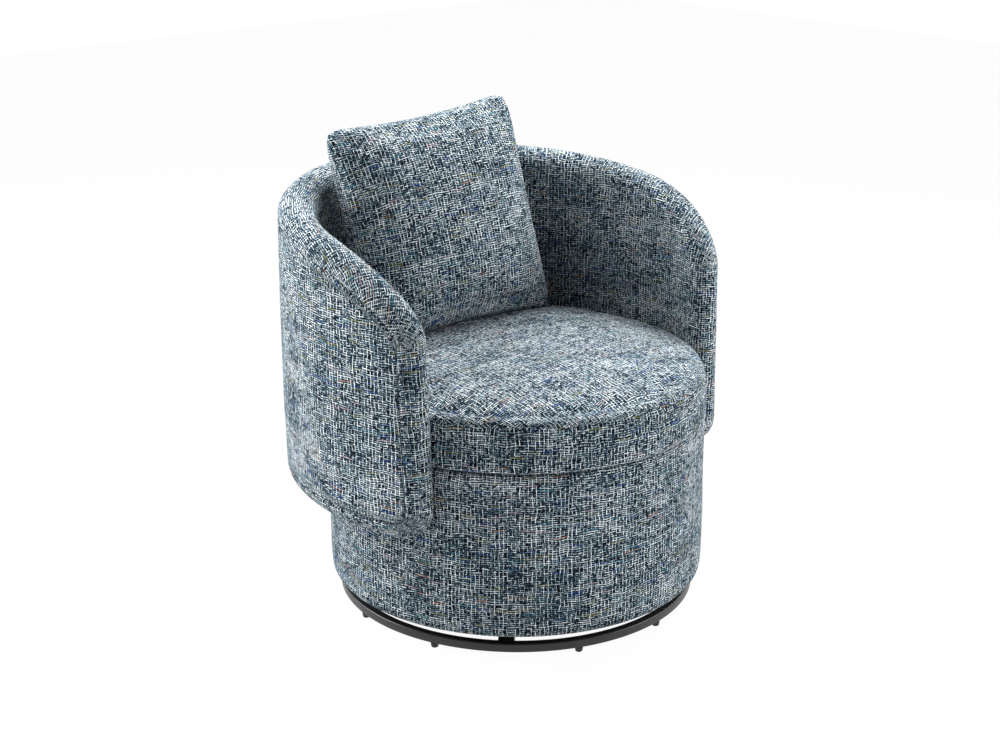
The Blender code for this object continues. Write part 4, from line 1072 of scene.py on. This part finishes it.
# %% Leaning the pillow on the seat and the back
def press_out(piece, neighbour, clearance, reach=0.03):
    """Move points that lie inside a neighbour, or too close to it, back out of it."""
    tree = BVHTree.FromObject(neighbour, bpy.context.evaluated_depsgraph_get())
    points = positions(piece)
    pressed = 0
    for k, point in enumerate(points):
        place, normal, _, _ = tree.find_nearest(Vector(point), reach)
        if place is not None and (Vector(point) - place).dot(normal) < clearance:
            points[k] = place + normal * clearance
            pressed += 1
    set_positions(piece, points)
    return pressed


foot = Vector(PILLOW_FOOT) + Vector((0, AXIS_Y, 0))
pillow_piece.data.transform(Matrix.Translation(foot) @ Matrix.Rotation(-PILLOW_LEAN, 4, "X")
                            @ Matrix.Translation((0, 0, PILLOW_HEIGHT / 2)))
bpy.context.view_layer.update()
on_seat = press_out(pillow_piece, cushion_piece, SEAT_GAP)
on_back = press_out(pillow_piece, wrap_piece, BACK_GAP)
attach(pillow_piece, "pillow")
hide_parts("throw_pillow")
print("pillow points laid against the seat", on_seat, "and the back", on_back)

# %% [markdown]
# ## The deck pad
#
# Lift the cushion and there is a quilted felt pad over the springs. Its quilting is a grid of
# channels: between them the pad is a little thicker, along them it is drawn down to the sewing.

# %% Deck pad
DECK_RADIUS, DECK_TOP, DECK_THICK = 0.3027, 0.3175, 0.006
DECK_STATIONS, DECK_EDGE = 216, 0.0025
QUILT_PITCH, CHANNEL_DEPTH = 0.062, 0.0026


def deck_pad():
    """A round pad: a disc grid for each face, with quilted cells on the upper one."""
    rings = np.concatenate([[0.002], np.linspace(0.01, DECK_RADIUS - 0.004, 74)])
    edge = arc_points((DECK_RADIUS - DECK_EDGE, DECK_TOP - DECK_THICK / 2), DECK_EDGE, 80, -80, 5)
    section = [(r, DECK_TOP) for r in rings] + [tuple(p) for p in edge]
    section += [(r, DECK_TOP - DECK_THICK) for r in rings[::-6]] + [(0.002, DECK_TOP - DECK_THICK)]
    section = np.asarray(section)
    angle, radius = np.meshgrid(full_turn(DECK_STATIONS), section[:, 0])
    z = np.broadcast_to(section[:, 1:2], radius.shape)
    x, y = radius * np.sin(angle), radius * np.cos(angle)
    along, across = (x + y) / math.sqrt(2), (x - y) / math.sqrt(2)
    cell = abs(np.sin(math.pi * along / QUILT_PITCH)) * abs(np.sin(math.pi * across / QUILT_PITCH))
    drawn = CHANNEL_DEPTH * (1 - np.sqrt(cell))
    z = np.where(z > DECK_TOP - 1e-6, z - drawn * smoothstep(DECK_RADIUS - radius, 0.0, 0.012), z)
    return capped_rings("deck_pad_quilt", polar(radius, angle, z), deck_felt)


deck_piece = deck_pad()
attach(deck_piece, "seat")
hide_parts("deck_pad")
tell(deck_piece)

# %% [markdown]
# ## The dust cover and its staples
#
# The underside is closed by a thin black cloth, cut as a ring round the swivel plate and stapled
# tight, with slight slack between the staples. The staples repeat round two circles, which is
# work for Geometry Nodes: a circle is resampled into points, and one small wire staple is put
# on each. The tree has named inputs for the circle's radius and the number of staples.

# %% Dust cover
CLOTH_OUTER, CLOTH_INNER = 0.2892, 0.1266
CLOTH_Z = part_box("dust_cover")[0].z + 0.0004
CLOTH_THICK = 0.0005
STAPLES_OUTER, STAPLES_INNER = 56, 26
OUTER_CIRCLE, INNER_CIRCLE = 0.2835, 0.1325
SLACK, SLACK_REACH, SAG = 0.0006, 0.015, 0.0010


def dust_sheet():
    angle, share = np.meshgrid(full_turn(224), np.linspace(0, 1, 26), indexing="ij")
    radius = CLOTH_INNER + (CLOTH_OUTER - CLOTH_INNER) * share
    sag = SAG * np.sin(math.pi * share) ** 2
    for count, from_edge in ((STAPLES_OUTER, CLOTH_OUTER - radius), (STAPLES_INNER, radius - CLOTH_INNER)):
        sag = sag + SLACK * abs(np.sin(angle * count / 2)) * np.exp(-(from_edge / SLACK_REACH) ** 2)
    lower = polar(radius, angle, CLOTH_Z - sag)
    upper = polar(radius, angle, CLOTH_Z - sag + CLOTH_THICK)
    grid = np.concatenate([lower, upper[:, ::-1]], 1)
    return skin("dust_cover_cloth", grid, dust_cloth)


dust_piece = dust_sheet()
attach(dust_piece, "seat")
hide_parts("dust_cover")


# %% Geometry Nodes helpers
def node_tree(name, inputs):
    """A Geometry Nodes tree with named number inputs and one geometry output."""
    tree = bpy.data.node_groups.new(name, "GeometryNodeTree")
    tree.interface.new_socket("Geometry", in_out="OUTPUT", socket_type="NodeSocketGeometry")
    for label, (kind, _) in inputs.items():
        tree.interface.new_socket(label, in_out="INPUT", socket_type=kind)
    return tree, tree.nodes.new("NodeGroupInput").outputs, tree.nodes.new("NodeGroupOutput")


def grow(name, tree, inputs, material, body, height=0.0):
    """Run a tree with its inputs, and leave its result as a plain mesh on the swivel axis."""
    host = bpy.data.objects.new(name, bpy.data.meshes.new(name + "_host"))
    scene.collection.objects.link(host)
    growth = host.modifiers.new("growth", "NODES")
    growth.node_group = tree
    for item in tree.interface.items_tree:
        if item.item_type == "SOCKET" and item.in_out == "INPUT":
            growth[item.identifier] = inputs[item.name][1]
    settle(host)
    host.data.transform(Matrix.Translation((0, AXIS_Y, height)))
    host.data.materials.clear()
    host.data.materials.append(material)
    for face in host.data.polygons:
        face.material_index = 0
    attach(host, body)
    return host


def end_tree(tree, out, geometry, material):
    """Close a tree with Realize Instances and Set Material."""
    real = add_node(tree, "GeometryNodeRealizeInstances", {0: geometry})
    coat = add_node(tree, "GeometryNodeSetMaterial", {"Geometry": real.outputs[0], "Material": material})
    tree.links.new(coat.outputs[0], out.inputs[0])


print("growth helpers ready")


# %% Staples
def staple_tree():
    inputs = {"Circle radius": ("NodeSocketFloat", OUTER_CIRCLE),
              "Staple count": ("NodeSocketInt", STAPLES_OUTER),
              "Crown length": ("NodeSocketFloat", 0.011), "Wire": ("NodeSocketFloat", 0.0009)}
    tree, given, out = node_tree("staples_round_a_circle", inputs)
    wire = given["Wire"]
    circle = add_node(tree, "GeometryNodeCurvePrimitiveCircle",
                      {"Resolution": 180, "Radius": given["Circle radius"]})
    points = add_node(tree, "GeometryNodeCurveToPoints",
                      {"Curve": circle.outputs[0], "Count": given["Staple count"]}, mode="COUNT").outputs
    size = add_node(tree, "ShaderNodeCombineXYZ", {"X": wire, "Y": wire, "Z": given["Crown length"]})
    crown = add_node(tree, "GeometryNodeMeshCube", {"Size": size.outputs[0]})
    put = add_node(tree, "GeometryNodeInstanceOnPoints",
                   {"Points": points["Points"], "Instance": crown.outputs["Mesh"],
                    "Rotation": points["Rotation"]})
    end_tree(tree, out, put.outputs[0], zinc_plate)
    return tree, inputs


staples, staple_inputs = staple_tree()
for name, circle_radius, count in (("dust_staples_outer", OUTER_CIRCLE, STAPLES_OUTER),
                                   ("dust_staples_inner", INNER_CIRCLE, STAPLES_INNER)):
    staple_inputs["Circle radius"] = ("NodeSocketFloat", circle_radius)
    staple_inputs["Staple count"] = ("NodeSocketInt", count)
    piece = grow(name, staples, staple_inputs, zinc_plate, "seat", CLOTH_Z - 0.0003)
    tell(piece)

# %% [markdown]
# ## The ring base
#
# The ring is one square tube bent round and welded: a circle with a rounded square swept along
# it. The tree below has its radius, side and corner as inputs, so the same few nodes make any
# ring of tube.


# %% Base ring
def ring_tree():
    low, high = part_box("base_ring")
    side = high.z - low.z
    inputs = {"Ring radius": ("NodeSocketFloat", (high.x - low.x - side) / 2),
              "Tube side": ("NodeSocketFloat", side), "Tube corner": ("NodeSocketFloat", 0.0022)}
    tree, given, out = node_tree("square_tube_ring", inputs)
    circle = add_node(tree, "GeometryNodeCurvePrimitiveCircle",
                      {"Resolution": 288, "Radius": given["Ring radius"]})
    square = add_node(tree, "GeometryNodeCurvePrimitiveQuadrilateral",
                      {"Width": given["Tube side"], "Height": given["Tube side"]})
    fillet = add_node(tree, "GeometryNodeFilletCurve",
                      {"Curve": square.outputs[0], "Count": 6, "Radius": given["Tube corner"]}, mode="POLY")
    sweep = add_node(tree, "GeometryNodeCurveToMesh",
                     {"Curve": circle.outputs[0], "Profile Curve": fillet.outputs[0]})
    end_tree(tree, out, sweep.outputs[0], powder_black)
    return tree, inputs, (low.z + high.z) / 2


ring_growth, ring_inputs, ring_height = ring_tree()
ring_piece = grow("base_ring_tube", ring_growth, ring_inputs, powder_black, "base", ring_height)
ring_piece.data.shade_smooth()
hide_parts("base_ring")
tell(ring_piece, [round(v, 4) for v in ring_piece.dimensions])

# %% [markdown]
# ## Finishes on the solids that stay as they are
#
# Tubes, plates, bolts, springs and the wooden frame already have their true form in the
# engineering model. They only get their surfaces, by the material that each is made of.

# %% Finishes by solid
FINISHES = ((powder_black, ("cross_bar",)), (moulded_black, ("glide",)),
            (ply_face, ("seat_board", "deck_ring", "drum_wall", "shell_frame")),
            (pine_wood, ("drum_post", "rear_spacer")), (spring_wire, ("seat_spring",)),
            (zinc_plate, ("swivel", "ball_cage", "kingpin", "base_bolt", "seat_bolt", "shell_bolt", "clip")))
dressed = 0
for name, solid in nodes.items():
    finish = next((finish for finish, starts in FINISHES if name.startswith(starts)), None)
    if finish is None:
        continue
    for place in solid.material_slots:
        place.material = finish
    dressed += 1
print("solids with a finish", dressed)
